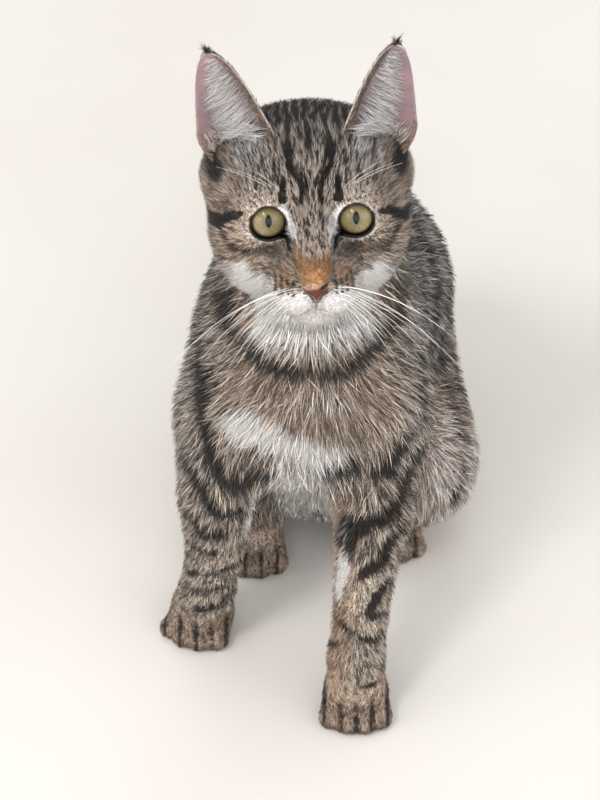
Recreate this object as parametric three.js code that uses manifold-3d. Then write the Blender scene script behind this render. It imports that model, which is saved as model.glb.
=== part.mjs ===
// A sitting young cat, life size, as a still display model.
// Millimetres, +Z up. The cat faces -Y, and its left side is +X.
// The body is one smooth field built from named rounded limbs and ellipsoids. Each node is
// the surface of that field, meshed at the fineness the node needs and parted by thin cuts.
import * as THREE from 'three';
import { mergeVertices } from 'three/addons/utils/BufferGeometryUtils.js';
import Module from 'manifold-3d';

const wasm = await Module();
wasm.setup();

// ---- driving dimensions (mm, out to the tips of the coat) ----
const GAP = 0.3;                  // clear space between neighbouring solids
const EYE_HEIGHT = 270;           // floor to the middle of the pupils
const EYE_SPACING = 36;           // pupil to pupil
const EYE_RADIUS = 9.5;
const EYE_OPENING = 16.5;         // between the lids
const EYE_DROP = 1.6;             // the eyeball's middle lies this far under the pupil's level
const HEAD_PITCH = 13;            // degrees: face turned up
const HEAD_YAW = 3;               // degrees: face turned to the cat's left
const HEAD_ROLL = 1;              // degrees: left ear raised
const EAR_HEIGHT = 42.4;          // head surface to the tip of the ear
const EAR_INNER_WIDTH = 23.5;     // at the base, from the ear's middle line to its inner edge
const EAR_OUTER_WIDTH = 14.2;     // and to its outer edge
const EAR_CUP = 9;                // how far the ear's middle lies behind its edges
const EAR_THICKNESS = 3;
const HIP_SHIFT = 13;             // hindquarters swing this far to the cat's left
const PAW_CLEAR = 1.5;            // pads are pressed this far flat by the floor
const TOE_SPREAD = 7.6;           // toe to toe
const TOE_RADIUS = 6.2;

// ---- fineness of each surface (mm) ----
const CELL_TRUNK = 14.6;
const CELL_THIGH = 12.4;
const CELL_NECK = 12;
const CELL_LEG = 9.8;
const CELL_PAW = 6.6;
const CELL_HEAD = 8.4;
const CELL_TAIL = 8.2;

// ---- small field library: each returns a signed distance, negative inside ----
function limbDistance(p, a, b) {
  const ab = [b[0] - a[0], b[1] - a[1], b[2] - a[2]];
  const ap = [p[0] - a[0], p[1] - a[1], p[2] - a[2]];
  const along = ap[0] * ab[0] + ap[1] * ab[1] + ap[2] * ab[2];
  const t = Math.min(1, Math.max(0, along / (ab[0] ** 2 + ab[1] ** 2 + ab[2] ** 2)));
  const d = Math.hypot(ap[0] - ab[0] * t, ap[1] - ab[1] * t, ap[2] - ab[2] * t);
  return d - (a[3] + (b[3] - a[3]) * t);
}

function ellipsoidDistance(p, centre, radii) {
  const q = [0, 1, 2].map((i) => (p[i] - centre[i]) / radii[i]);
  const k0 = Math.hypot(q[0], q[1], q[2]);
  const k1 = Math.hypot(q[0] / radii[0], q[1] / radii[1], q[2] / radii[2]);
  return k1 < 1e-9 ? -Math.min(...radii) : k0 * (k0 - 1) / k1;
}

function blend(a, b, width) {
  const h = Math.max(width - Math.abs(a - b), 0) / width;
  return Math.min(a, b) - h * h * width / 4;
}

// A chain of stations [x, y, z, radius] joined by rounded cones.
function chainDistance(p, stations, width = 6) {
  let d = Infinity;
  for (let i = 1; i < stations.length; i++) {
    const next = limbDistance(p, stations[i - 1], stations[i]);
    d = i === 1 ? next : blend(d, next, width);
  }
  return d;
}

// ---- the head's own frame: u to the cat's left, v up the face, w out of the face ----
const toRadians = Math.PI / 180;
const headOrigin = new THREE.Vector3(5, 0, EYE_HEIGHT);
const headFrame = new THREE.Matrix4()
  .makeTranslation(headOrigin)
  .multiply(new THREE.Matrix4().makeRotationX((90 - HEAD_PITCH) * toRadians))
  .multiply(new THREE.Matrix4().makeRotationY(HEAD_YAW * toRadians))
  .multiply(new THREE.Matrix4().makeRotationZ(HEAD_ROLL * toRadians));
const intoHead = headFrame.clone().invert();
const toHead = (p) => new THREE.Vector3(...p).applyMatrix4(intoHead).toArray();
const fromHead = (p) => new THREE.Vector3(...p).applyMatrix4(headFrame).toArray();

const sides = { left: 1, right: -1 };
const eyeCentre = (side) => [side * EYE_SPACING / 2, -EYE_DROP, -EYE_RADIUS];

function headDistance(p) {
  const q = toHead(p);
  const half = [Math.abs(q[0]), q[1], q[2]];          // the head is the same on both sides
  let d = ellipsoidDistance(half, [0, 2, -42], [45.5, 29.5, 40]);              // skull
  d = blend(d, ellipsoidDistance(half, [0, 9, -22], [26, 20, 19]), 10);      // forehead
  d = blend(d, ellipsoidDistance(half, [17, 9, -15], [13, 9, 11]), 6);       // brows
  d = blend(d, ellipsoidDistance(half, [25, -13, -23], [18, 17, 18]), 8);    // cheekbones
  d = blend(d, ellipsoidDistance(half, [20, -28, -30], [19, 17, 22]), 10);   // jowls
  d = blend(d, ellipsoidDistance(half, [18, 0, -10.5], [13, 12, 11]), 4);    // lids
  d = blend(d, ellipsoidDistance(half, [0, -24, -2], [19, 14, 17]), 8);      // muzzle root
  d = blend(d, limbDistance(half, [0, 4, -9, 10], [0, -16.5, 15, 7.5]), 5);  // nose bridge
  d = blend(d, ellipsoidDistance(half, [7.5, -27.5, 12], [10, 8.5, 10.5]), 4);   // whisker pads
  d = blend(d, ellipsoidDistance(half, [0, -36, 6], [9.5, 7.5, 10]), 4);     // chin
  return blend(d, limbDistance(half, [0, -34, -2, 12], [0, -36, -30, 22]), 8);   // throat
}

// ---- trunk and limbs, as stations [x, y, z, radius] ----
const hip = HIP_SHIFT;
const trunkLine = [
  [2, 42, 158, 50],               // chest
  [6, 80, 150, 48],               // ribs
  [hip + 2, 130, 126, 54],        // loin
  [hip + 1, 156, 86, 52],         // pelvis
  [hip + 1, 160, 46, 47],         // rump on the floor
];
const bellyLine = [[5, 62, 118, 40], [hip - 2, 104, 62, 47]];
const neckLine = [[5, 44, 246, 36], [5, 46, 192, 42]];
const breast = [[3, 26, 186, 30], [2, 30, 138, 36]];

const foreleg = {
  left: [[34, 26, 142, 24], [33, 5, 104, 19], [28.5, -8, 68, 14.5], [25.5, -20, 34, 13]],
  right: [[-31, 26, 142, 24], [-37, 15, 104, 19], [-38.5, 17, 68, 14.5], [-43, 22, 34, 13]],
};
const scapula = { left: [30, 50, 166, 23], right: [-22, 50, 166, 23] };
const forepaw = {
  left: { wrist: [25.5, -20, 34, 13], heel: [25.5, -20, 13, 14], turn: -1 },
  right: { wrist: [-43, 22, 34, 13], heel: [-46, 32, 13, 14], turn: -20 },
};
const thigh = {
  left: [[hip + 24, 150, 80, 38], [hip + 45, 98, 52, 29]],
  right: [[hip - 24, 150, 80, 38], [hip - 45, 98, 52, 29]],
};
const calf = {
  left: [[hip + 42, 94, 39, 26], [hip + 38, 146, 32, 28]],
  right: [[hip - 42, 94, 39, 26], [hip - 38, 146, 32, 28]],
};
const hindFoot = {
  left: { hock: [hip + 36, 140, 14, 14], heel: [hip + 31, 90, 12, 13], turn: 3 },
  right: { hock: [hip - 36, 140, 14, 14], heel: [hip - 35, 80, 12, 13], turn: -3 },
};
const tailLine = [
  [hip + 2, 180, 34, 22], [hip + 1, 212, 18, 16], [6, 246, 13, 13.5], [-6, 280, 12.5, 13],
  [-10, 312, 12, 12.5], [2, 340, 11.5, 12], [24, 358, 11, 11.5], [38, 362, 9, 10],
];

// The four toes of a paw, set in a shallow arc in front of its heel pad.
function pawDistance(p, paw, reach) {
  let d = limbDistance(p, paw.heel, paw.heel.with(1, paw.heel[1] + 1));
  const turn = paw.turn * toRadians;
  for (const place of [-1.5, -0.5, 0.5, 1.5]) {
    const sideways = place * TOE_SPREAD;
    const ahead = reach - 1.6 * place * place;
    const root = [paw.heel[0] + sideways * 0.8, paw.heel[1] - 2, 10.5, TOE_RADIUS];
    const tip = [
      paw.heel[0] + sideways * Math.cos(turn) + ahead * Math.sin(turn),
      paw.heel[1] - ahead * Math.cos(turn) + sideways * Math.sin(turn),
      TOE_RADIUS - PAW_CLEAR, TOE_RADIUS,
    ];
    d = blend(d, limbDistance(p, root, tip), 2);
  }
  return d;
}

function trunkDistance(p) {
  let d = chainDistance(p, trunkLine, 20);
  d = blend(d, chainDistance(p, bellyLine), 14);
  d = blend(d, chainDistance(p, neckLine), 24);
  return blend(d, chainDistance(p, breast), 14);
}

function foreDistance(p, name) {
  let d = chainDistance(p, foreleg[name], 8);
  d = blend(d, limbDistance(p, scapula[name], foreleg[name][0]), 12);
  const paw = forepaw[name];
  d = blend(d, limbDistance(p, paw.wrist, paw.heel), 5);
  return blend(d, pawDistance(p, paw, 14.5), 4);
}

function hindDistance(p, name) {
  let d = limbDistance(p, ...thigh[name]);
  d = blend(d, limbDistance(p, ...calf[name]), 12);
  const foot = hindFoot[name];
  d = blend(d, limbDistance(p, foot.hock, foot.heel), 6);
  return blend(d, pawDistance(p, foot, 15), 4);
}

function bodyDistance(p) {
  let d = trunkDistance(p);
  for (const name of Object.keys(sides)) {
    d = blend(d, foreDistance(p, name), 12);
    d = blend(d, hindDistance(p, name), 12);
  }
  return d;
}

const headAndBody = (p) => blend(headDistance(p), bodyDistance(p), 10);
const bodyAndTail = (p) => blend(bodyDistance(p), chainDistance(p, tailLine, 6), 14);

// ---- meshing: one vertex in each cell that the surface crosses, pulled onto the surface ----
// A coarse grid can pinch two folds of the surface together along one edge, so the grid is
// nudged until no edge has more than two faces.
const NUDGES = 10;
function surface(field, low, high, cell, level = 0) {
  for (let nudge = 0; nudge < NUDGES; nudge++) {
    const start = low.map((v, axis) => v - cell * ((nudge * (0.31 + 0.17 * axis)) % 1));
    const geometry = surfaceOnGrid(field, start, high, cell, level);
    if (!hasPinchedEdge(geometry.index.array)) return geometry;
  }
  throw new Error('no grid gives a clean surface');
}

function hasPinchedEdge(index) {
  const faces = new Map();
  for (let i = 0; i < index.length; i++) {
    const next = i % 3 === 2 ? index[i - 2] : index[i + 1];
    const edge = `${Math.min(index[i], next)},${Math.max(index[i], next)}`;
    faces.set(edge, (faces.get(edge) ?? 0) + 1);
  }
  return [...faces.values()].some((count) => count !== 2);
}

function surfaceOnGrid(field, low, high, cell, level) {
  const inside = (p) => Math.max(field(p) - level,
    ...[0, 1, 2].map((i) => Math.max(low[i] + cell - p[i], p[i] - high[i] + cell)));
  const n = [0, 1, 2].map((i) => Math.ceil((high[i] - low[i]) / cell) + 1);
  const at = (i, j, k) => i + n[0] * (j + n[1] * k);
  const value = new Float64Array(n[0] * n[1] * n[2]);
  const place = (i, j, k) => [low[0] + i * cell, low[1] + j * cell, low[2] + k * cell];
  for (let k = 0; k < n[2]; k++)
    for (let j = 0; j < n[1]; j++)
      for (let i = 0; i < n[0]; i++) value[at(i, j, k)] = inside(place(i, j, k));

  const steps = [[1, 0, 0], [0, 1, 0], [0, 0, 1]];
  const vertexOf = new Map();
  const positions = [];
  for (let k = 0; k < n[2] - 1; k++)
    for (let j = 0; j < n[1] - 1; j++)
      for (let i = 0; i < n[0] - 1; i++) {
        const sum = [0, 0, 0];
        let count = 0;
        for (let axis = 0; axis < 3; axis++)
          for (const [b, c] of [[0, 0], [1, 0], [0, 1], [1, 1]]) {
            const from = [i, j, k];
            from[(axis + 1) % 3] += b;
            from[(axis + 2) % 3] += c;
            const to = from.map((v, index) => v + steps[axis][index]);
            const v0 = value[at(...from)];
            const v1 = value[at(...to)];
            if ((v0 < 0) === (v1 < 0)) continue;
            const t = v0 / (v0 - v1);
            const a = place(...from);
            a[axis] += t * cell;
            a.forEach((v, index) => { sum[index] += v; });
            count += 1;
          }
        if (!count) continue;
        vertexOf.set(at(i, j, k), positions.length / 3);
        positions.push(...ontoSurface(inside, sum.map((v) => v / count), cell));
      }

  const index = [];
  for (let k = 1; k < n[2] - 1; k++)
    for (let j = 1; j < n[1] - 1; j++)
      for (let i = 1; i < n[0] - 1; i++)
        for (let axis = 0; axis < 3; axis++) {
          const v0 = value[at(i, j, k)];
          const v1 = value[at(i + steps[axis][0], j + steps[axis][1], k + steps[axis][2])];
          if ((v0 < 0) === (v1 < 0)) continue;
          const back = steps[(axis + 1) % 3];
          const side = steps[(axis + 2) % 3];
          const corner = (a, b) => vertexOf.get(at(
            i - a * back[0] - b * side[0], j - a * back[1] - b * side[1],
            k - a * back[2] - b * side[2]));
          const [p, q, r, s] = [corner(0, 0), corner(1, 0), corner(1, 1), corner(0, 1)];
          if (v0 < 0) index.push(p, q, r, p, r, s);
          else index.push(p, r, q, p, s, r);
        }
  const geometry = new THREE.BufferGeometry();
  geometry.setAttribute('position', new THREE.Float32BufferAttribute(positions, 3));
  geometry.setIndex(index);
  return geometry;
}

function ontoSurface(field, start, cell) {
  const h = 0.05;
  let p = start;
  for (let turn = 0; turn < 3; turn++) {
    const d = field(p);
    const slope = [0, 1, 2].map((i) => {
      const ahead = [...p];
      ahead[i] += h;
      return (field(ahead) - d) / h;
    });
    const steep = slope[0] ** 2 + slope[1] ** 2 + slope[2] ** 2;
    if (steep < 0.2) break;
    const step = Math.max(-cell / 3, Math.min(cell / 3, d)) / steep;
    p = p.map((v, i) => v - slope[i] * step);
  }
  return p;
}

// ---- solids ----
function solid(geometry, matrix = new THREE.Matrix4()) {
  const bare = geometry.clone().applyMatrix4(matrix);
  bare.deleteAttribute('normal');
  bare.deleteAttribute('uv');
  const merged = mergeVertices(bare, 1e-4);
  return new wasm.Manifold(new wasm.Mesh({
    numProp: 3,
    vertProperties: new Float32Array(merged.attributes.position.array),
    triVerts: new Uint32Array(merged.index.array),
  }));
}

// Everything on one side of a plane, as a block far larger than the cat.
const REACH = 900;
function beyond(point, normal, grow = 0) {
  const direction = new THREE.Vector3(...normal).normalize();
  const centre = new THREE.Vector3(...point).addScaledVector(direction, REACH / 2 - grow);
  const turn = new THREE.Quaternion().setFromUnitVectors(new THREE.Vector3(0, 0, 1), direction);
  const place = new THREE.Matrix4().compose(centre, turn, new THREE.Vector3(1, 1, 1));
  return solid(new THREE.BoxGeometry(2 * REACH, 2 * REACH, REACH), place);
}

// A region bounded by planes [point, inward normal], grown outward by a gap if asked.
function region(planes, grow = 0) {
  return planes
    .map(([point, normal]) => beyond(point, normal, grow))
    .reduce((whole, next) => whole.intersect(next));
}

const keep = (shape, planes) => shape.intersect(region(planes, -GAP / 2));
const without = (shape, planes) => shape.subtract(region(planes, GAP / 2));

const floorPlane = [[0, 0, 0], [0, 0, 1]];
const onFloor = (shape) => shape.intersect(region([floorPlane]));
const opposite = ([point, normal]) => [point, normal.map((v) => -v)];

// Cutting planes, each as a point and the direction of the part named.
const nape = [[5, 50, 228], [0, -0.35, 0.94]];              // head side
const collar = [[4, 40, 190], [0, -0.3, 0.95]];             // neck side
const lastRib = [[8, 84, 130], [0, -0.85, 0.53]];           // chest side
const flank = [[hip, 132, 100], [0, -0.62, 0.78]];          // belly side

const underHead = (p) => fromHead(p);
const faceWay = (d) => new THREE.Vector3(...d).transformDirection(headFrame).toArray();
const jawPlanes = [
  [underHead([0, -31.6, 18]), faceWay([0, -1, -0.18])],
  [underHead([0, -30, -14]), faceWay([0, 0, 1])],
  [underHead([15, -30, 0]), faceWay([-1, 0, 0])],
  [underHead([-15, -30, 0]), faceWay([1, 0, 0])],
];

function forelegPlanes(name) {
  const s = sides[name];
  return [[[s * 11, 0, 0], [s, 0, 0]], [[0, 46, 0], [0, -1, 0]], [[0, 0, 106], [0, 0, -1]]];
}

function wristPlane() {
  return [[0, 0, 27], [0, 0, -1]];
}

function thighPlanes(name) {
  const s = sides[name];
  return [
    [[hip + s * 32, 100, 60], [s, -0.25, -0.1]],
    [[hip, 150, 112], [0, -0.15, -1]],
    opposite(lastRib),
  ];
}

function hindFootPlanes(name) {
  const s = sides[name];
  return [
    [[hip + s * 12, 0, 0], [s, 0, 0]],
    [[0, 50, 0], [0, 1, 0]],
    [[0, 92, 0], [0, -1, -0.1]],
    [[0, 0, 23], [0, 0, -1]],
  ];
}

const tailRoot = [[hip + 1, 212, 20], [0, 1, -0.2]];
const tailMiddle = [[-6, 272, 12], [-0.35, 1, 0]];
const tailEnd = [[-6, 330, 12], [0.5, 1, 0]];

// ---- colours of the live animal, for the plain model ----
const coat = (colour) => new THREE.MeshStandardMaterial({ color: colour, roughness: 0.9 });
const group = new THREE.Group();

function addNode(name, shape, material) {
  const mesh = shape.getMesh();
  const geometry = new THREE.BufferGeometry();
  geometry.setAttribute('position', new THREE.BufferAttribute(mesh.vertProperties, 3));
  geometry.setIndex(new THREE.BufferAttribute(mesh.triVerts, 1));
  const node = new THREE.Mesh(geometry, material);
  node.name = name;
  group.add(node);
}

// The largest piece of a shape, where a cut leaves slivers of the neighbouring part behind.
function mainPiece(shape) {
  return shape.decompose().reduce((best, piece) => (piece.volume() > best.volume() ? piece : best));
}

// ---- ears: a cupped leaf, lofted from closed rings, its rim towards the front ----
const earRoot = { left: [30, 20, -39], right: [-29.5, 20, -39] };
const earTip = { left: [37, 63.5, -34], right: [-40, 63.5, -34] };

function earGeometry(name) {
  const side = sides[name];
  const base = new THREE.Vector3(...earRoot[name]);
  const tip = new THREE.Vector3(...earTip[name]);
  const axis = tip.clone().sub(base).normalize();
  const facing = new THREE.Vector3(side * 0.34, 0, 1);
  facing.addScaledVector(axis, -facing.dot(axis)).normalize();
  const across = new THREE.Vector3().crossVectors(axis, facing).normalize();
  const rings = 8;
  const steps = 5;
  const points = [];
  for (let i = 0; i <= rings; i++) {
    const s = -0.3 + 1.3 * i / rings;
    const rise = Math.max(0, 1 - Math.max(s, 0));
    const innerWidth = Math.max(1.3, EAR_INNER_WIDTH * rise ** 0.5);
    const outerWidth = Math.max(1.3, EAR_OUTER_WIDTH * rise ** 0.38);
    const cup = EAR_CUP * rise ** 0.7;
    const middle = base.clone().addScaledVector(axis, EAR_HEIGHT * s);
    for (let j = 0; j < 2 * (steps + 1); j++) {
      const front = j <= steps;
      const t = front ? -1 + 2 * j / steps : 1 - 2 * (j - steps - 1) / steps;
      const width = t * side > 0 ? outerWidth : innerWidth;
      const thick = EAR_THICKNESS * (0.5 - 0.2 * t ** 4) * (front ? 1 : -1);
      points.push(...middle.clone()
        .addScaledVector(across, width * t * (front ? 1 : 1.06))
        .addScaledVector(facing, cup * t * t + thick).toArray());
    }
  }
  const ring = 2 * (steps + 1);
  const index = [];
  for (let i = 0; i < rings; i++)
    for (let j = 0; j < ring; j++) {
      const [a, b] = [i * ring + j, i * ring + (j + 1) % ring];
      index.push(a, b, b + ring, a, b + ring, a + ring);
    }
  for (let j = 1; j < steps + 1; j++) {
    for (const [end, flip] of [[0, true], [rings, false]]) {
      const [a, b] = [end * ring + j - 1, end * ring + j];
      const [c, d] = [end * ring + ring - 1 - j, end * ring + ring - j];
      if (flip) index.push(a, d, c, a, c, b);
      else index.push(a, c, d, a, b, c);
    }
  }
  const geometry = new THREE.BufferGeometry();
  geometry.setAttribute('position', new THREE.Float32BufferAttribute(points, 3));
  geometry.setIndex(index);
  return geometry;
}

// ---- the head's solids ----
const headLow = [-60, -45, 205];
const headHigh = [68, 105, 330];
const headShape = solid(surface(headAndBody, headLow, headHigh, CELL_HEAD));
const headGrown = solid(surface(headAndBody, headLow, headHigh, CELL_HEAD, GAP * 1.3));

const noseMatrix = headFrame.clone().multiply(new THREE.Matrix4().compose(
  new THREE.Vector3(0, -22.5, 20), new THREE.Quaternion(), new THREE.Vector3(1, 0.72, 0.8)));
const noseGeometry = new THREE.SphereGeometry(6.2, 10, 8);
const noseShape = solid(noseGeometry, noseMatrix);
const noseSpace = solid(new THREE.SphereGeometry(6.2 + GAP * 1.8, 10, 8), noseMatrix);

const eyeMatrix = (side) => headFrame.clone()
  .multiply(new THREE.Matrix4().makeTranslation(...eyeCentre(side)));
const eyeShape = (side) => solid(new THREE.SphereGeometry(EYE_RADIUS, 12, 9), eyeMatrix(side));
const socket = (side) => solid(new THREE.SphereGeometry(EYE_RADIUS + 1.5 * GAP, 12, 9), eyeMatrix(side));
const lidOpening = (side) => solid(new THREE.SphereGeometry(1, 14, 8), headFrame.clone().multiply(
  new THREE.Matrix4().compose(new THREE.Vector3(side * EYE_SPACING / 2, -EYE_DROP, 0),
    new THREE.Quaternion(), new THREE.Vector3(EYE_OPENING / 2, EYE_OPENING / 2 - 0.4, 6))));

let head = without(keep(headShape, [nape]), jawPlanes).subtract(noseSpace);
for (const side of Object.values(sides))
  head = head.subtract(socket(side)).subtract(lidOpening(side));
addNode('head', mainPiece(head), coat(0x7d7162));
addNode('jaw', mainPiece(keep(keep(headShape, [nape]), jawPlanes)), coat(0xd9d2c8));
addNode('nose', noseShape, new THREE.MeshStandardMaterial({ color: 0xa55a42, roughness: 0.6 }));

const eyeMaterial = new THREE.MeshStandardMaterial({ color: 0x9a9a6a, roughness: 0.05 });
for (const [name, side] of Object.entries(sides)) {
  addNode(`eye_${name}`, eyeShape(side), eyeMaterial);
  const ear = solid(earGeometry(name), headFrame).subtract(headGrown);
  addNode(`ear_${name}`, mainPiece(ear), coat(0x8a7668));
}

// ---- neck and trunk ----
const trunkShape = onFloor(solid(surface(bodyAndTail, [-85, -75, -20], [115, 250, 262], CELL_TRUNK)));
const neckShape = solid(surface(headAndBody, [-70, -40, 150], [80, 130, 275], CELL_NECK));
addNode('neck', mainPiece(keep(neckShape, [opposite(nape), collar])), coat(0x756a5c));

let chest = keep(trunkShape, [opposite(collar), lastRib]);
for (const name of Object.keys(sides)) chest = without(chest, forelegPlanes(name));
addNode('chest', mainPiece(chest), coat(0x8b7a66));

let belly = keep(trunkShape, [opposite(lastRib), flank]);
let rump = keep(trunkShape, [opposite(lastRib), opposite(flank)]);
for (const name of Object.keys(sides)) {
  belly = without(without(belly, thighPlanes(name)), hindFootPlanes(name));
  rump = without(without(rump, thighPlanes(name)), hindFootPlanes(name));
}
rump = without(rump, [tailRoot]);
addNode('belly', mainPiece(belly), coat(0x6f675c));
addNode('rump', mainPiece(rump), coat(0x5f5a52));

// ---- limbs ----
for (const [name, s] of Object.entries(sides)) {
  const wrist = forepaw[name].wrist;
  const legLow = [Math.min(s * 4, s * 86), -65, -15];
  const legHigh = [Math.max(s * 4, s * 86), 68, 122];
  const leg = solid(surface(bodyDistance, legLow, legHigh, CELL_LEG));
  addNode(`foreleg_${name}`,
    mainPiece(keep(leg, [...forelegPlanes(name), opposite(wristPlane())])), coat(0x7f7364));

  const pawLow = [wrist[0] - 32, wrist[1] - 52, -12];
  const pawHigh = [wrist[0] + 32, wrist[1] + 30, 42];
  const paw = onFloor(solid(surface(bodyDistance, pawLow, pawHigh, CELL_PAW)));
  addNode(`forepaw_${name}`, mainPiece(keep(paw, [wristPlane()])), coat(0x93836d));

  const haunchLow = [Math.min(hip, hip + s * 100), 30, -15];
  const haunchHigh = [Math.max(hip, hip + s * 100), 235, 135];
  const haunch = onFloor(solid(surface(bodyDistance, haunchLow, haunchHigh, CELL_THIGH)));
  addNode(`thigh_${name}`,
    mainPiece(without(keep(haunch, thighPlanes(name)), hindFootPlanes(name))), coat(0x8d7d68));

  const heel = hindFoot[name].heel;
  const footLow = [heel[0] - 34, 36, -12];
  const footHigh = [heel[0] + 34, 110, 38];
  const foot = onFloor(solid(surface(bodyDistance, footLow, footHigh, CELL_PAW)));
  addNode(`hind_foot_${name}`, mainPiece(keep(foot, hindFootPlanes(name))), coat(0x8a7b67));
}

// ---- tail, laid on the floor ----
const tailShape = onFloor(solid(surface(bodyAndTail, [-50, 175, -15], [80, 395, 60], CELL_TAIL)));
addNode('tail_base', mainPiece(keep(tailShape, [tailRoot, opposite(tailMiddle)])), coat(0x5c564e));
addNode('tail_middle', mainPiece(keep(tailShape, [tailMiddle, opposite(tailEnd)])), coat(0x6b6357));
addNode('tail_tip', mainPiece(keep(tailShape, [tailEnd])), coat(0x2e2a26));

// The origin is moved to the middle of the model's footprint, on the floor.
const extent = new THREE.Box3().setFromObject(group);
const middle = extent.getCenter(new THREE.Vector3());
group.position.set(-middle.x, -middle.y, 0);

export default group;
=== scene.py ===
# %% [markdown]
# # A sitting tabby cat, as a life-size still model
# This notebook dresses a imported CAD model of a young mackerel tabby. The CAD solids give the
# outline, out to the tips of the coat. Blender adds what is seen: one skin under the coat, wet eyes
# behind real lids, a pebbled nose, whiskers, and a coat of many small mesh tufts.
#
# Everything is worked out in one plan, in millimetres, in which the cat faces -Y and its left side
# is +X. The plan is laid over the frame by the place of the two eyes, and only then turned to metres.

# %% Load the frame
import math
import time
import bmesh
import bpy
import numpy as np
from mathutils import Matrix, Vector


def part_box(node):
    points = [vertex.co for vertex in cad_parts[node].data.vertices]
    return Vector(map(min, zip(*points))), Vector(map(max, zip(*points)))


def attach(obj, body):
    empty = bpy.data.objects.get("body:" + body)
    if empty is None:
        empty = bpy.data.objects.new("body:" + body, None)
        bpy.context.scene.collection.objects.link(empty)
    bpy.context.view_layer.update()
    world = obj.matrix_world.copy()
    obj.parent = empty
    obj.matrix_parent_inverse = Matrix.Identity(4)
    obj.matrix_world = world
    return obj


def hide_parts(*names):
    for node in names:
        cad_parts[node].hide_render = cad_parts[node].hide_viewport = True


started = time.time()
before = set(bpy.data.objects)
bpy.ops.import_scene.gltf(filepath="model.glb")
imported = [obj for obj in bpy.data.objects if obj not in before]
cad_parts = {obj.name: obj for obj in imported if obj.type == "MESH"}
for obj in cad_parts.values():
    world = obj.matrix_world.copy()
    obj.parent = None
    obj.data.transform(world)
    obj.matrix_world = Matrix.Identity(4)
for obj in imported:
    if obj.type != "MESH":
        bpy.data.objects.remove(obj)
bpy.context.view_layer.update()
MM = 0.001
rng = np.random.default_rng(11)


def node_box(name):
    """A node's lowest and highest corner, in millimetres of the frame."""
    low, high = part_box(name)
    return np.array(low) / MM, np.array(high) / MM


def clock():
    return f"{time.time() - started:.1f} s"


# %% [markdown]
# ## The head's own directions
# A face is easiest to describe in its own directions: u to the cat's left, v up the face and w out
# of the face, with the origin midway between the pupils. The head is pitched up, as the cat looks at
# someone standing in front of it.

# %% Head directions and the place of the plan in the frame
EYE_SPACING, EYE_RADIUS, EYE_HEIGHT, EYE_DROP = 36.0, 9.5, 270.0, 1.6
HEAD_PITCH, HEAD_YAW, HEAD_ROLL = np.radians((13.0, 3.0, 1.0))


def turn(axis, angle):
    """Rotation matrix about x, y or z."""
    c, s = math.cos(angle), math.sin(angle)
    return {
        "x": np.array([[1, 0, 0], [0, c, -s], [0, s, c]]),
        "y": np.array([[c, 0, s], [0, 1, 0], [-s, 0, c]]),
        "z": np.array([[c, -s, 0], [s, c, 0], [0, 0, 1]]),
    }[axis]


head_turn = turn("x", math.pi / 2 - HEAD_PITCH) @ turn("y", HEAD_YAW) @ turn("z", HEAD_ROLL)
head_origin = np.array([5.0, 0.0, EYE_HEIGHT])


def to_head(p):
    return (p - head_origin) @ head_turn


def from_head(q):
    return np.asarray(q, float) @ head_turn.T + head_origin


def mirrored(p):
    """Points in the head's directions, all brought to its left side."""
    q = to_head(p)
    q[:, 0] = np.abs(q[:, 0])
    return q


eyes_in_frame = np.mean([np.mean(node_box(f"eye_{side}"), axis=0) for side in ("left", "right")], axis=0)
plan_shift = eyes_in_frame - from_head([0, -EYE_DROP, -EYE_RADIUS])
print("plan shift in mm", plan_shift.round(2))


def in_metres(p):
    return (np.asarray(p, float) + plan_shift) * MM


# %% [markdown]
# ## Fields
# A body without edges is a good case for distance fields. Each bone-and-muscle mass is a rounded limb
# or an ellipsoid that says how far any point is from it, negative inside. Fields blend softly into
# each other, can be carved, and can be moved inwards by the depth of the coat, which mesh modelling
# does less easily. The stations are the ones that the CAD solids are made from.

# %% Field helpers
def limb(p, a, b):
    """Distance to a rounded cone between two stations (x, y, z, radius)."""
    a, b = np.asarray(a, float), np.asarray(b, float)
    line = b[:3] - a[:3]
    t = np.clip((p - a[:3]) @ line / (line @ line), 0, 1)
    return np.linalg.norm(p - a[:3] - t[:, None] * line, axis=1) - (a[3] + (b[3] - a[3]) * t)


def ellipsoid(p, centre, radii):
    q = (p - np.asarray(centre, float)) / np.asarray(radii, float)
    near = np.linalg.norm(q, axis=1)
    slope = np.linalg.norm(q / np.asarray(radii, float), axis=1)
    return near * (near - 1) / np.maximum(slope, 1e-9)


def blend(a, b, width):
    h = np.maximum(width - np.abs(a - b), 0) / width
    return np.minimum(a, b) - h * h * width / 4


def carve(a, hole, width):
    return -blend(-a, hole, width)


def chain(p, stations, width=6.0):
    d = limb(p, stations[0], stations[1])
    for a, b in zip(stations[1:], stations[2:]):
        d = blend(d, limb(p, a, b), width)
    return d


def smoothstep(x, low, high):
    t = np.clip((x - low) / (high - low), 0, 1)
    return t * t * (3 - 2 * t)


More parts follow.
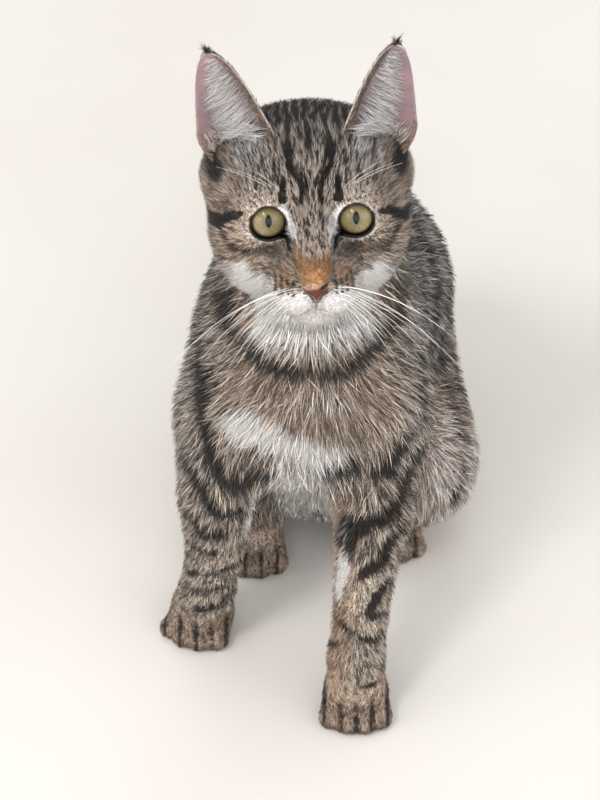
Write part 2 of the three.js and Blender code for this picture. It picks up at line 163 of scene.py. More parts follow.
# %% Stations of the trunk, limbs and tail (mm, out to the tips of the coat)
HIP = 13.0
SIDES = {"left": 1.0, "right": -1.0}
trunk_line = [(2, 42, 158, 50), (6, 80, 150, 48), (HIP + 2, 130, 126, 54),
              (HIP + 1, 156, 86, 52), (HIP + 1, 160, 46, 47)]
belly_line = [(5, 62, 118, 40), (HIP - 2, 104, 62, 47)]
neck_line = [(5, 44, 246, 36), (5, 46, 192, 42)]
breast_line = [(3, 26, 186, 30), (2, 30, 138, 36)]
tail_line = [(HIP + 2, 180, 34, 22), (HIP + 1, 212, 18, 16), (6, 246, 13, 13.5),
             (-6, 280, 12.5, 13), (-10, 312, 12, 12.5), (2, 340, 11.5, 12),
             (24, 358, 11, 11.5), (38, 362, 9, 10)]
foreleg = {
    "left": [(34, 26, 142, 24), (33, 5, 104, 19), (28.5, -8, 68, 14.5), (25.5, -20, 34, 13)],
    "right": [(-31, 26, 142, 24), (-37, 15, 104, 19), (-38.5, 17, 68, 14.5), (-43, 22, 34, 13)],
}
scapula = {"left": (30, 50, 166, 23), "right": (-22, 50, 166, 23)}
forepaw = {
    "left": {"top": (25.5, -20, 34, 13), "heel": (25.5, -20, 13, 14), "turn": -1.0},
    "right": {"top": (-43, 22, 34, 13), "heel": (-46, 32, 13, 14), "turn": -20.0},
}
thigh = {name: [(HIP + s * 24, 150, 80, 38), (HIP + s * 45, 98, 52, 29)] for name, s in SIDES.items()}
calf = {name: [(HIP + s * 42, 94, 39, 26), (HIP + s * 38, 146, 32, 28)] for name, s in SIDES.items()}
hind_foot = {
    "left": {"top": (HIP + 36, 140, 14, 14), "heel": (HIP + 31, 90, 12, 13), "turn": 3.0},
    "right": {"top": (HIP - 36, 140, 14, 14), "heel": (HIP - 35, 80, 12, 13), "turn": -3.0},
}
TOE_SPREAD, TOE_RADIUS, PAW_CLEAR = 7.6, 6.2, 1.5
FOREPAW_REACH, HIND_PAW_REACH = 14.5, 15.0
LEG_BLEND = 1.5


# %% Toes and legs as fields
def toes(foot, reach):
    """The root and tip stations of a foot's four toes, set in a shallow arc."""
    heel, angle = foot["heel"], math.radians(foot["turn"])
    for place in (-1.5, -0.5, 0.5, 1.5):
        across, ahead = place * TOE_SPREAD, reach - 1.6 * place * place
        root = (heel[0] + across * 0.8, heel[1] - 2, 10.5, TOE_RADIUS)
        tip = (heel[0] + across * math.cos(angle) + ahead * math.sin(angle),
               heel[1] - ahead * math.cos(angle) + across * math.sin(angle),
               TOE_RADIUS - PAW_CLEAR, TOE_RADIUS)
        yield root, tip


def paw_field(p, foot, reach):
    heel = foot["heel"]
    d = limb(p, heel, (heel[0], heel[1] + 1, heel[2], heel[3]))
    for root, tip in toes(foot, reach):
        d = blend(d, limb(p, root, tip), 3.0)
    return d


def foreleg_field(p, name):
    d = blend(chain(p, foreleg[name], LEG_BLEND), limb(p, scapula[name], foreleg[name][0]), 12)
    d = blend(d, limb(p, forepaw[name]["top"], forepaw[name]["heel"]), 5)
    return blend(d, paw_field(p, forepaw[name], FOREPAW_REACH), 4)


def hindleg_field(p, name):
    d = blend(limb(p, *thigh[name]), limb(p, *calf[name]), 12)
    d = blend(d, limb(p, hind_foot[name]["top"], hind_foot[name]["heel"]), 6)
    return blend(d, paw_field(p, hind_foot[name], HIND_PAW_REACH), 4)


# %% Trunk and head as fields
def trunk_field(p):
    d = blend(chain(p, trunk_line, 20), chain(p, belly_line), 14)
    return blend(blend(d, chain(p, neck_line), 24), chain(p, breast_line), 14)


def head_field(p):
    q = mirrored(p)
    d = ellipsoid(q, (0, 2, -42), (45.5, 29.5, 40))                        # skull
    d = blend(d, ellipsoid(q, (0, 9, -22), (26, 20, 19)), 10)              # forehead
    d = blend(d, ellipsoid(q, (17, 9, -15), (13, 9, 11)), 6)               # brows
    d = blend(d, ellipsoid(q, (25, -13, -23), (18, 17, 18)), 8)            # cheekbones
    d = blend(d, ellipsoid(q, (20, -28, -30), (19, 17, 22)), 10)           # jowls
    d = blend(d, ellipsoid(q, (18, 0, -10.5), (13, 12, 11)), 4)            # lids
    d = blend(d, ellipsoid(q, (0, -24, -2), (19, 14, 17)), 8)              # root of the muzzle
    d = blend(d, limb(q, (0, 4, -9, 10), (0, -16.5, 15, 7.5)), 5)          # bridge of the nose
    d = blend(d, ellipsoid(q, (7.5, -27.5, 12), (10, 8.5, 10.5)), 4)       # whisker pads
    d = blend(d, ellipsoid(q, (0, -36, 6), (9.5, 7.5, 10)), 4)             # chin
    return blend(d, limb(q, (0, -34, -2, 12), (0, -36, -30, 22)), 8)       # throat


# %% All parts, and the outline that they blend into
def part_fields(p):
    """Every part's own distance, by name."""
    fields = {"trunk": trunk_field(p), "head": head_field(p), "tail": chain(p, tail_line, 6)}
    for name in SIDES:
        fields[f"fore_{name}"] = foreleg_field(p, name)
        fields[f"hind_{name}"] = hindleg_field(p, name)
    return fields


def outline_field(p, fields=None):
    """The outline of the coat, as one field."""
    f = fields or part_fields(p)
    d = f["trunk"]
    for name in SIDES:
        d = blend(blend(d, f[f"fore_{name}"], 12), f[f"hind_{name}"], 12)
    return blend(blend(d, f["tail"], 14), f["head"], 10)


# %% [markdown]
# ## How deep the coat is
# The solids reach out to the tips of the hair, so the skin lies inside them. A short-haired cat has
# hardly a millimetre on its nose and toes, four or five on the tail and cheeks, and most on the
# chest and neck. The depth is a smooth number at every point, mixed from the nearest parts.

# %% Coat depth
SHARE_WIDTH = 5.0                  # parts closer than this share a point
NOSE_TIP = np.array([0.0, -22.5, 20.0])
EYE_CENTRE = np.array([EYE_SPACING / 2, -EYE_DROP, -EYE_RADIUS])


def nearness(fields):
    """How much each part owns a point: shares that add up to one."""
    names = list(fields)
    d = np.array([fields[name] for name in names])
    share = np.exp(-np.clip(d - d.min(axis=0), 0, 60) / SHARE_WIDTH)
    share /= share.sum(axis=0)
    return dict(zip(names, share))


def head_depth(p):
    q = mirrored(p)
    depth = 0.7 + 1.6 * smoothstep(np.linalg.norm(q - NOSE_TIP, axis=1), 12, 44)
    depth += 3.0 * smoothstep(-q[:, 2], 22, 62) * smoothstep(-q[:, 1], -14, 22)     # cheeks and ruff
    depth *= 0.45 + 0.55 * smoothstep(np.linalg.norm(q - EYE_CENTRE, axis=1), 12, 19)
    return depth


def coat_depth(p, fields):
    share = nearness(fields)
    height = p[:, 2]
    chest = smoothstep(height, 95, 130) * smoothstep(-p[:, 1], -70, -25)
    depth = share["head"] * head_depth(p) + share["tail"] * 4.2
    depth += share["trunk"] * (5.2 + 1.6 * chest)
    for name in SIDES:
        foreleg_depth = 1.1 + 1.3 * smoothstep(height, 18, 45) + 2.2 * smoothstep(height, 70, 130)
        depth += share[f"fore_{name}"] * foreleg_depth
        depth += share[f"hind_{name}"] * (1.2 + 3.8 * smoothstep(height, 20, 48))
    return depth


# %% [markdown]
# ## Details that the coat doesn't hide
# A cat's lids wrap the eyeball closely, with a dark rim and a drawn-down inner corner. The nose pad
# is a small pebbled cushion with comma-shaped nostrils, joined by a groove to the mouth. These are
# put into the same field as shells, pads and carved grooves, so the skin stays one surface.

# %% The gap between the lids
NOSTRIL = (2.1, -24.3, 23.2, 0.95), (5.3, -21.6, 19.4, 0.5)
LID_THICKNESS, BALL_GAP = 1.25, 0.12
HAIR_ABOVE_FLOOR, SKIN_ABOVE_FLOOR = 0.3, 0.35
OPENING_HALF_WIDTH, OPENING_HALF_HEIGHT = 6.9, 7.3
OPENING_CENTRE = np.array([17.8, -1.9])


def opening_distance(q):
    """Signed distance, in the plane of the face, to the gap between the lids."""
    x = q[:, 0] - OPENING_CENTRE[0]
    y = q[:, 1] - OPENING_CENTRE[1]
    flat = np.where(y > 0, OPENING_HALF_HEIGHT - 0.008 * x * x, OPENING_HALF_HEIGHT)
    round_gap = (np.hypot(x / OPENING_HALF_WIDTH, y / flat) - 1) * OPENING_HALF_HEIGHT
    plane = np.column_stack([x, y, np.zeros_like(x)])
    inner = limb(plane, (-4.2, -4.0, 0, 2.6), (-8.3, -6.5, 0, 0.35))
    outer = limb(plane, (3.6, 1.4, 0, 2.8), (6.2, 2.4, 0, 0.5))
    return blend(blend(round_gap, inner, 1.2), outer, 0.8)


# %% Lids, nose pad and mouth
def face_details(p, d, shape):
    """Applies a change of shape to the front of the head."""
    q = mirrored(p)
    near = np.nonzero(q[:, 2] > -32)[0]
    if len(near):
        d = d.copy()
        d[near] = shape(q[near], d[near])
    return d


def raised_lids(q, d):
    """The skin drawn over the eyeballs, before the opening is cut."""
    lid = np.linalg.norm(q - EYE_CENTRE, axis=1) - (EYE_RADIUS + LID_THICKNESS)
    d = blend(d, lid, 3.0)
    fold = ellipsoid(q, (17.0, 7.6, -5.6), (6.0, 1.7, 2.2))                # of the upper lid
    return blend(d, fold, 2.0)


def front_details(q, d):
    d = raised_lids(q, d)
    from_eye = np.linalg.norm(q - EYE_CENTRE, axis=1)
    gap = np.maximum(opening_distance(q), EYE_CENTRE[2] + 1.0 - q[:, 2])
    d = carve(d, gap, 0.8)
    d = np.maximum(d, EYE_RADIUS + BALL_GAP - from_eye)                    # socket
    pad = ellipsoid(q, (0, -21.0, 19.6), (5.2, 3.1, 4.7))
    pad = blend(pad, ellipsoid(q, (0, -24.2, 19.8), (2.5, 3.2, 3.6)), 2.0)
    pad = blend(pad, ellipsoid(q, (4.2, -21.6, 18.0), (1.8, 1.9, 3.3)), 1.2)
    d = blend(d, pad, 1.4)
    d = carve(d, limb(q, *NOSTRIL), 0.6)
    d = carve(d, limb(q, (0, -24.8, 24.2, 0.42), (0, -30.2, 21.4, 0.5)), 0.8)      # groove of the lip
    mouth = limb(q, (0, -30.4, 21.0, 0.6), (5.5, -33.2, 17.5, 0.6))
    mouth = np.minimum(mouth, limb(q, (5.5, -33.2, 17.5, 0.6), (11.5, -33.0, 9.5, 0.6)))
    mouth = np.minimum(mouth, limb(q, (11.5, -33.0, 9.5, 0.6), (15.0, -30.5, 0.5, 0.5)))
    return carve(d, mouth, 1.0)


def skin_field(p, shape=front_details):
    fields = part_fields(p)
    d = outline_field(p, fields) + coat_depth(p, fields)
    return np.maximum(face_details(p, d, shape), SKIN_ABOVE_FLOOR - p[:, 2])


# %% [markdown]
# ## From field to mesh
# Marching a fine grid through the whole box would waste most of its work on empty air. The field is
# read on a coarse grid first, then on the fine one only near the surface. Surface nets put one
# vertex in each cell that the surface crosses, which gives even quads, and a few Newton steps then
# set every vertex exactly on the surface.

# %% Field values in a narrow band
SKIN_CELL = 1.2                    # mm
COARSE = 4                         # fine cells along one coarse cell
CHUNK = 200000                     # points worked out at once


def in_chunks(field, p):
    return np.concatenate([field(part) for part in np.array_split(p, max(1, len(p) // CHUNK))])


def narrow_band(field, low, high, cell):
    """Field values on a grid, exact near the surface and only rough elsewhere."""
    blocks = np.ceil((high - low) / (cell * COARSE)).astype(int)
    corner = np.indices(blocks + 1).reshape(3, -1).T
    rough = in_chunks(field, low + corner * (cell * COARSE)).reshape(blocks + 1)
    corners = [rough[i:i + blocks[0], j:j + blocks[1], k:k + blocks[2]]
               for i in (0, 1) for j in (0, 1) for k in (0, 1)]
    near = np.min(np.abs(corners), axis=0) < cell * COARSE * 1.1
    values = rough[:-1, :-1, :-1]
    mask = near
    for axis in range(3):
        values = np.repeat(values, COARSE, axis=axis)
        mask = np.repeat(mask, COARSE, axis=axis)
    values = np.pad(values, ((0, 1), (0, 1), (0, 1)), mode="edge").astype(np.float32)
    wide = np.zeros(values.shape, bool)
    for i in (0, 1):
        for j in (0, 1):
            for k in (0, 1):
                wide[i:i + mask.shape[0], j:j + mask.shape[1], k:k + mask.shape[2]] |= mask
    values[wide] = in_chunks(field, low + np.argwhere(wide) * cell)
    return values


# %% A surface net through the values
def surface_net(values, low, cell):
    """Vertices and quads of the surface where the values change sign."""
    inside = values < 0
    shape = np.array(values.shape)
    owners, crossings, quads = [], [], []
    for axis in range(3):
        step = np.eye(3, dtype=int)[axis]
        side_a, side_b = np.eye(3, dtype=int)[(axis + 1) % 3], np.eye(3, dtype=int)[(axis + 2) % 3]
        size = shape - step
        start = inside[:size[0], :size[1], :size[2]]
        end = inside[step[0]:, step[1]:, step[2]:]
        where = np.argwhere(start != end)
        a = values[tuple(where.T)]
        b = values[tuple((where + step).T)]
        point = where + (a / (a - b))[:, None] * step
        ring = [where - side_a - side_b, where - side_b, where, where - side_a]
        ids = [np.ravel_multi_index(tuple(cell_index.T), shape) for cell_index in ring]
        quad = np.column_stack(ids)
        outward = inside[tuple(where.T)]
        quad[~outward] = quad[~outward][:, ::-1]
        quads.append(quad)
        owners += ids
        crossings += [point] * 4
    owners, crossings, quads = np.concatenate(owners), np.concatenate(crossings), np.concatenate(quads)
    used, place = np.unique(owners, return_inverse=True)
    count = np.bincount(place)
    centre = np.column_stack([np.bincount(place, crossings[:, k]) for k in range(3)]) / count[:, None]
    faces = np.searchsorted(used, quads)
    return low + centre * cell, faces


# %% Points set exactly on the surface
LEAST_SLOPE = 0.3                  # keeps a step short where a field is nearly flat


def gradient(field, p, step=0.25):
    """Slope of the field, from differences along the three axes."""
    offsets = np.eye(3) * step
    return np.column_stack([in_chunks(field, p + o) - in_chunks(field, p - o) for o in offsets]) / (2 * step)


def settle(field, p, limit, rounds=3):
    """Moves points onto the surface, by no more than the limit in each round."""
    for _ in range(rounds):
        slope = gradient(field, p)
        steep = np.maximum((slope ** 2).sum(axis=1), LEAST_SLOPE)[:, None]
        move = -in_chunks(field, p)[:, None] * slope / steep
        length = np.linalg.norm(move, axis=1, keepdims=True)
        p = p + move * np.minimum(1, limit / np.maximum(length, 1e-9))
    return p


# %% The skin's net
BODY_LOW, BODY_HIGH = np.array([-80.0, -50.0, -3.0]), np.array([110.0, 390.0, 312.0])
skin_values = narrow_band(skin_field, BODY_LOW, BODY_HIGH, SKIN_CELL)
skin_points, skin_quads = surface_net(skin_values, BODY_LOW, SKIN_CELL)
print("skin net", len(skin_points), "vertices,", clock())

# %% [markdown]
# ## One skin, fine only where it shows
# Under the long coat of the body a coarse skin is enough, while the bare rims of the lids, the nose
# and the lips need faces well under a millimetre. The Decimate modifier thins the body through a
# vertex group, and the face is then subdivided and settled on the field again.

# %% Mesh helpers
def make_object(name, points, faces, smooth=True):
    """A mesh object from plan points, in metres of the frame."""
    mesh = bpy.data.meshes.new(name)
    faces = np.asarray(faces)
    sides = faces.shape[1]
    mesh.vertices.add(len(points))
    mesh.vertices.foreach_set("co", in_metres(points).astype(np.float32).ravel())
    mesh.loops.add(faces.size)
    mesh.loops.foreach_set("vertex_index", faces.astype(np.int32).ravel())
    mesh.polygons.add(len(faces))
    mesh.polygons.foreach_set("loop_start", np.arange(0, faces.size, sides, dtype=np.int32))
    mesh.update(calc_edges=True)
    if smooth:
        mesh.shade_smooth()
    obj = bpy.data.objects.new(name, mesh)
    bpy.context.scene.collection.objects.link(obj)
    return obj


def plan_points(mesh):
    co = np.empty(len(mesh.vertices) * 3, np.float32)
    mesh.vertices.foreach_get("co", co)
    return co.reshape(-1, 3).astype(float) / MM - plan_shift


def set_plan_points(mesh, points):
    mesh.vertices.foreach_set("co", in_metres(points).astype(np.float32).ravel())
    mesh.update()


def apply_modifiers(obj):
    graph = bpy.context.evaluated_depsgraph_get()
    done = bpy.data.meshes.new_from_object(obj.evaluated_get(graph))
    obj.modifiers.clear()
    obj.data = done


def boolean(obj, other, operation):
    modifier = obj.modifiers.new("join", "BOOLEAN")
    modifier.operation = operation
    modifier.solver = "MANIFOLD"
    modifier.object = other
    apply_modifiers(obj)
    bpy.data.objects.remove(other)


# %% Thin the body
KEPT_SHARE = 0.27
FACE_BEHIND, FACE_BELOW, FACE_ASIDE, FACE_HEIGHT = 45, 44, 60, 200          # the face stays fine, in mm
skin = make_object("skin", settle(skin_field, skin_points, SKIN_CELL / 2, rounds=1), skin_quads)
in_head = to_head(plan_points(skin.data))
fine = (in_head[:, 2] > -FACE_BEHIND) & (in_head[:, 1] > -FACE_BELOW) & (np.abs(in_head[:, 0]) < FACE_ASIDE)
fine &= plan_points(skin.data)[:, 2] > FACE_HEIGHT
body_group = skin.vertex_groups.new(name="body")
body_group.add(np.nonzero(~fine)[0].tolist(), 1.0, "REPLACE")
thin = skin.modifiers.new("thin", "DECIMATE")
thin.ratio = KEPT_SHARE
thin.vertex_group = "body"
thin.use_collapse_triangulate = True
apply_modifiers(skin)
print("thinned skin", len(skin.data.polygons), "faces", clock())

# %% Refine the face and settle it
def refine(obj, chosen, rounds, limit):
    """Splits the edges between chosen vertices once, then settles the new vertices on the field."""
    mesh = bmesh.new()
    mesh.from_mesh(obj.data)
    mesh.verts.ensure_lookup_table()
    edges = [e for e in mesh.edges if chosen[e.verts[0].index] and chosen[e.verts[1].index]]
    bmesh.ops.subdivide_edges(mesh, edges=edges, cuts=1, use_grid_fill=True)
    bmesh.ops.triangulate(mesh, faces=mesh.faces[:])
    mesh.to_mesh(obj.data)
    mesh.free()
    points = plan_points(obj.data)
    q = to_head(points)
    near = (q[:, 2] > -34) & (points[:, 2] > 205)
    points[near] = settle(skin_field, points[near], limit, rounds)
    set_plan_points(obj.data, points)


def face_zone(points, radius_eye, radius_nose):
    q = mirrored(points)
    around_eye = np.linalg.norm((q - EYE_CENTRE - [0, 0, 5]) * [1, 1, 0.7], axis=1) < radius_eye
    around_nose = np.linalg.norm((q - [0, -25, 17]) * [1, 1, 0.6], axis=1) < radius_nose
    return around_eye | around_nose


refine(skin, face_zone(plan_points(skin.data), 12.5, 14.0), 3, 0.5)
print("refined skin", len(skin.data.polygons), "faces", clock())

# %% [markdown]
# ## Ears
# The ear is a thin cupped leaf of cartilage, its rim rolled towards the front. A loft gives the leaf
# an even thickness, which a field on a grid can't hold at this size. A Boolean union then grows it
# out of the skull, so that skull and ear are one closed skin.

# %% An ear's directions and outline
EAR_HEIGHT, EAR_INNER_WIDTH, EAR_OUTER_WIDTH, EAR_CUP = 42.4, 23.5, 14.2, 9.0
EAR_TRIM = 1.2                     # the fur of the rim takes this much
OUTER_SIGN = 1                     # t grows towards this side of the head on the left ear
ear_root = {"left": np.array([30.0, 20, -39]), "right": np.array([-29.5, 20, -39])}
ear_tip = {"left": np.array([37.0, 63.5, -34]), "right": np.array([-40.0, 63.5, -34])}


def ear_axes(name):
    """The ear's own directions: up its length, across it, and out of its opening."""
    up = ear_tip[name] - ear_root[name]
    up = up / np.linalg.norm(up)
    facing = np.array([SIDES[name] * 0.34, 0, 1.0])
    facing -= facing @ up * up
    facing /= np.linalg.norm(facing)
    return up, np.cross(up, facing), facing


def ear_half(name, s, t, trim=0.0):
    """Width from the ear's middle line to its edge, on the side of the head that t is on."""
    rise = np.maximum(0, 1 - np.maximum(s, 0))
    inner, outer = (EAR_INNER_WIDTH - trim) * rise ** 0.5, (EAR_OUTER_WIDTH - trim) * rise ** 0.38
    return np.maximum(0.9, np.where(OUTER_SIGN * SIDES[name] * t > 0, outer, inner))


def ear_point(name, s, t, out):
    """Place on an ear: s up its length, t across it from -1 to 1, out towards its opening in mm."""
    up, across, facing = ear_axes(name)
    half = ear_half(name, s, t, EAR_TRIM)
    cup = EAR_CUP * np.maximum(0, 1 - np.maximum(s, 0)) ** 0.7 * t * t
    outer_edge = smoothstep(OUTER_SIGN * SIDES[name] * t, 0.2, 1.0)
    root_end = smoothstep(-s, -0.22, 0.26)
    place = ear_root[name] + np.multiply.outer((EAR_HEIGHT - 1.4) * s, up)
    place = place + np.multiply.outer(half * t * (1 - 0.55 * outer_edge * root_end), across)
    return place + np.multiply.outer(cup + out + 1.5 * outer_edge * smoothstep(-s, -0.6, -0.1), facing)


# %% Ear leaves, joined to the skull
def ear_leaf(name):
    """A closed leaf, fuller in the middle and thin at the rim."""
    rings, steps = 46, 26
    points = []
    for s in np.linspace(-0.26, 1, rings):
        t = np.linspace(-1, 1, steps)
        half_thick = 0.75 - 0.35 * t ** 4
        front = ear_point(name, np.full(steps, s), t, half_thick)
        back = ear_point(name, np.full(steps, s), t[::-1], -half_thick)
        points += [front, back]
    ring = 2 * steps
    quads = [(i * ring + j, i * ring + (j + 1) % ring, (i + 1) * ring + (j + 1) % ring, (i + 1) * ring + j)
             for i in range(rings - 1) for j in range(ring)]
    last = (rings - 1) * ring
    for j in range(steps - 1):
        quads.append((j + 1, j, ring - 1 - j, ring - 2 - j))
        quads.append((last + j, last + j + 1, last + ring - 2 - j, last + ring - 1 - j))
    leaf = make_object(f"leaf_{name}", from_head(np.concatenate(points)), quads)
    shape = bmesh.new()
    shape.from_mesh(leaf.data)
    bmesh.ops.recalc_face_normals(shape, faces=shape.faces[:])
    bmesh.ops.triangulate(shape, faces=shape.faces[:])
    shape.to_mesh(leaf.data)
    shape.free()
    return leaf


for side_name in SIDES:
    boolean(skin, ear_leaf(side_name), "UNION")
    print("ear", side_name, "joined, skin", len(skin.data.polygons), "faces")

# %% [markdown]
# ## Markings of a mackerel tabby
# A tabby's pattern is an M on the forehead, lines from the outer corners of the eyes, a necklace,
# narrow bars down the flanks and legs, a dark line on the spine and rings on the tail. Between the
# bars each hair is ticked: grey at the root, buff in the middle and dark at the tip. Every mark is a
# stroke through a few places on the body, worked out in the same way for the skin and for each tuft,
# so the two always agree. Four masks hold it all: dark, white, warm and cool. The dark mask also
# holds painted shade: a shadow under the belly, and shade between the toes and along the mouth.

# %% Noise
SPREAD = np.array([73856093, 19349663, 83492791])          # large primes, to set neighbours apart


def lattice(cells, seed):
    """A repeatable random number between 0 and 1 for whole-number cells."""
    mixed = cells.astype(np.int64) @ SPREAD + seed * 2654435
    mixed = (mixed ^ (mixed >> 13)) * 1274126177
    return ((mixed ^ (mixed >> 16)) & 0xFFFF) / 65535.0


def noise(p, size, seed=0):
    """Smooth noise between -1 and 1, with lumps of about the given size."""
    scaled = p / size
    base = np.floor(scaled)
    t = scaled - base
    t = t * t * (3 - 2 * t)
    total = 0
    for i in (0, 1):
        for j in (0, 1):
            for k in (0, 1):
                corner = np.array([i, j, k])
                weight = np.prod(np.where(corner, t, 1 - t), axis=1)
                total = total + weight * lattice(base + corner, seed)
    return 2 * total - 1


# %% Strokes
def stroke(p, points, width, soft=0.45):
    """1 along a line through a few places, fading out at half the width."""
    points = np.asarray(points, float)
    points = np.column_stack([points, np.zeros(len(points))]) if points.shape[1] < 4 else points
    nearest = np.full(len(p), 1e9)
    for a, b in zip(points, points[1:]):
        nearest = np.minimum(nearest, limb(p, a, b))
    return 1 - smoothstep(nearest, width / 2 * (1 - soft), width / 2 * (1 + soft))


def most(*masks):
    """The strongest of several masks at each point."""
    return np.clip(np.max(masks, axis=0), 0, 1)


# %% Dark marks on the head, drawn for one side and mirrored
def flat(points):
    return [(u, v, 0) for u, v in points]


def spindle(top, bottom, thick):
    """Stations of a mark that is thick in its middle and thin at both ends."""
    (u0, v0), (u1, v1) = top, bottom
    return [(u0, v0, 0, -thick), ((u0 + u1) / 2, (v0 + v1) / 2, 0, thick), (u1, v1, 0, -thick)]


def lines_of_the_face(face, wobble):
    """The M on the forehead, the lines from the eyes, and the dark touches round nose and mouth; along the
    lip groove and the mouth these are partly painted shade in the crease.
    """
    return most(
        stroke(face, spindle((8.7, 30.0), (8.9, 21.6), 0.9), 2.8),
        0.75 * stroke(face, flat([(8.4, 29), (7.4, 33), (8.6, 44)]), 1.7),
        0.90 * stroke(face, [(8.7, 21.2, 0, 0.4), (4.1, 14.6, 0, 0), (3.9, 8.0, 0, -0.2)], 2.4),
        0.55 * stroke(face, flat([(6.2, 21.5), (1.9, 15.4), (1.6, 10.5)]), 1.2),
        0.85 * stroke(face, [(11.0, 16.6, 0, -0.3), (11.5, 8.6, 0, 0.6)], 2.4),
        0.65 * stroke(face, spindle((0, 32), (0.3, 26.4), 0.5), 2.6),
        0.50 * stroke(face, flat([(3.6, 40), (3.2, 29)]), 1.5),
        0.40 * stroke(face, flat([(0, 20), (0, 9)]), 1.1),
        0.42 * stroke(face, flat([(13.4, 33), (14.4, 24), (15.6, 16)]), 1.7),
        0.38 * stroke(face, flat([(18, 29), (20.5, 20), (22.5, 13)]), 1.6),
        0.34 * stroke(face, flat([(24, 22), (27, 15), (30, 8)]), 1.6),
        0.95 * stroke(face, [(28.6, 1.2, 0, -0.5), (34, -2.3, 0, 0.2), (42, -7.4, 0, 0.3)], 3.2),
        0.50 * stroke(face, flat([(38, -8), (35, -13.4), (31.5, -17)]), 2.2),
        0.40 * stroke(face, flat([(24, -12.5), (32, -20), (40, -24)]), 2.4),
        0.80 * stroke(face, [(10.6, -8.6, 0, 0.6), (9.4, -11.6, 0, -0.5)], 2.4, 0.6),
        0.36 * stroke(face, flat([(8.5, -12.8), (7.4, -18.0)]), 2.4, 0.9),
        # Groove of the lip and line of the mouth: dark lip colour, with painted shade in the crease.
        0.60 * stroke(face - wobble, flat([(0.3, -25.5), (0.3, -30.5)]), 1.2, 0.7),
        0.42 * stroke(face - wobble, flat([(0.3, -30.5), (5.8, -33.2), (11.0, -33.0)]), 1.6, 0.8),
        0.50 * stroke(face, flat([(0, -19.4), (4.6, -18.8)]), 1.8, 0.8),
    )


def dark_on_head(q, face, wobble, front):
    u, v, w = face[:, 0], face[:, 1], q[:, 2]
    dark = lines_of_the_face(face, wobble) * front * (0.98 + 0.6 * noise(q, 1.9, 15))
    crown = smoothstep(-w, 22, 36) * smoothstep(q[:, 1], 18, 30) * (1 - smoothstep(u, 20, 34))
    lines = 0.5 + 0.5 * np.cos(q[:, 0] * 1.5 + 4.2 * noise(q, 7, 5))
    crown = crown * (0.3 + 0.65 * lines * (0.85 + 0.35 * noise(q, 5, 18)))
    under_ear = np.exp(-((u - 39) ** 2 / 30 + (v - 12) ** 2 / 45)) * smoothstep(-w, 14, 26)
    dark = most(dark, crown, 0.24 * smoothstep(v, -10, 2) * front, 0.8 * under_ear,
                0.6 * smoothstep(-w, 62, 78),
                0.42 * stroke(face, flat([(15, -14), (25, -17), (33, -15)]), 7, 0.9) * front)
    for row in range(3):                                # spots at the roots of the whiskers
        for place in range(4):
            spot = (8.8 + 2.4 * place, -19.8 - 1.4 * row - 0.2 * place, 0)
            dark = most(dark, stroke(face - wobble, [spot, spot + np.array([0.01, 0, 0])], 1.2) * front)
    return dark


# %% White, warm and cool places on the head
def white_on_head(q, face, front):
    """The muzzle, chin and cheeks, the strips beside the nose, and the pale rings round the eyes."""
    u, v, w = face[:, 0], face[:, 1], q[:, 2]
    upper_edge = np.interp(u, [8, 14, 20, 24, 28, 40], [-21.8, -22.6, -26, -25, -22.5, -22])
    ragged = 2.4 * noise(q, 3.0, 14)
    cheek = smoothstep(u, 13, 22)
    white = smoothstep(upper_edge - v + ragged, -1.6 - 2.4 * cheek, 3.0 + 3.0 * cheek)
    white *= smoothstep(w, -46, -30) * (1 - smoothstep(u + ragged, 26, 42))
    white *= 1 - cheek * (0.12 + 0.42 * noise(q, 2.5, 17))
    strip = [(12.2, 5.2, 0, -0.7), (10.2, 2.2, 0, 0), (8.9, -1.5, 0, 0.1), (8.3, -4.6, 0, -0.7)]
    from_eye = np.hypot(u - OPENING_CENTRE[0], v - OPENING_CENTRE[1])
    ring = (1 - smoothstep(np.abs(from_eye - 9.9), 0.6, 2.1)) * smoothstep(OPENING_CENTRE[1] - v, 0.5, 5)
    white = most(white, 0.82 * stroke(face, strip, 4.0, 0.6) * front, 0.46 * ring * front,
                 0.50 * stroke(face, flat([(20, 25.5), (29.5, 20)]), 7, 0.95) * front)
    return white * (1 - 0.9 * stroke(face, flat([(9.6, -8.6), (8.9, -12.4)]), 2.0))


def warm_on_head(q, face, front):
    """The orange bridge of the nose, and a touch of rust round the muzzle and on the cheeks."""
    u, v, w = face[:, 0], face[:, 1], q[:, 2]
    bridge = 1 - smoothstep(u - np.minimum(0, v + 13) * 0.25, 6.8, 9.2)
    orange = smoothstep(-v, 5.5, 10.5) * (1 - 0.5 * smoothstep(-v, 17, 20)) * smoothstep(w, 0, 5)
    return most(bridge * orange,
                0.65 * stroke(face, flat([(12, -18.5), (15, -22.5)]), 7, 0.8) * front,
                0.25 * stroke(face, flat([(22, -16), (34, -18)]), 12, 0.8) * front,
                0.4 * stroke(face, flat([(14, -13), (12, -15)]), 5, 0.8) * front,
                0.25 * smoothstep(u, 22, 34) * front)


def head_marks(q):
    wobble = np.column_stack([noise(q, 4, 1), noise(q, 4, 2), np.zeros(len(q))]) * 0.7
    face = np.column_stack([np.abs(q[:, 0] + 0.3), q[:, 1], np.zeros(len(q))]) + wobble
    front = smoothstep(q[:, 2], -44, -30)
    dark = dark_on_head(q, face, wobble, front)
    white = white_on_head(q, face, front) * (1 - dark)
    cool = 0.25 * smoothstep(face[:, 1], 4, 22) + 0.3 * smoothstep(-q[:, 2], 40, 70)
    return np.column_stack([dark, white, warm_on_head(q, face, front), cool])


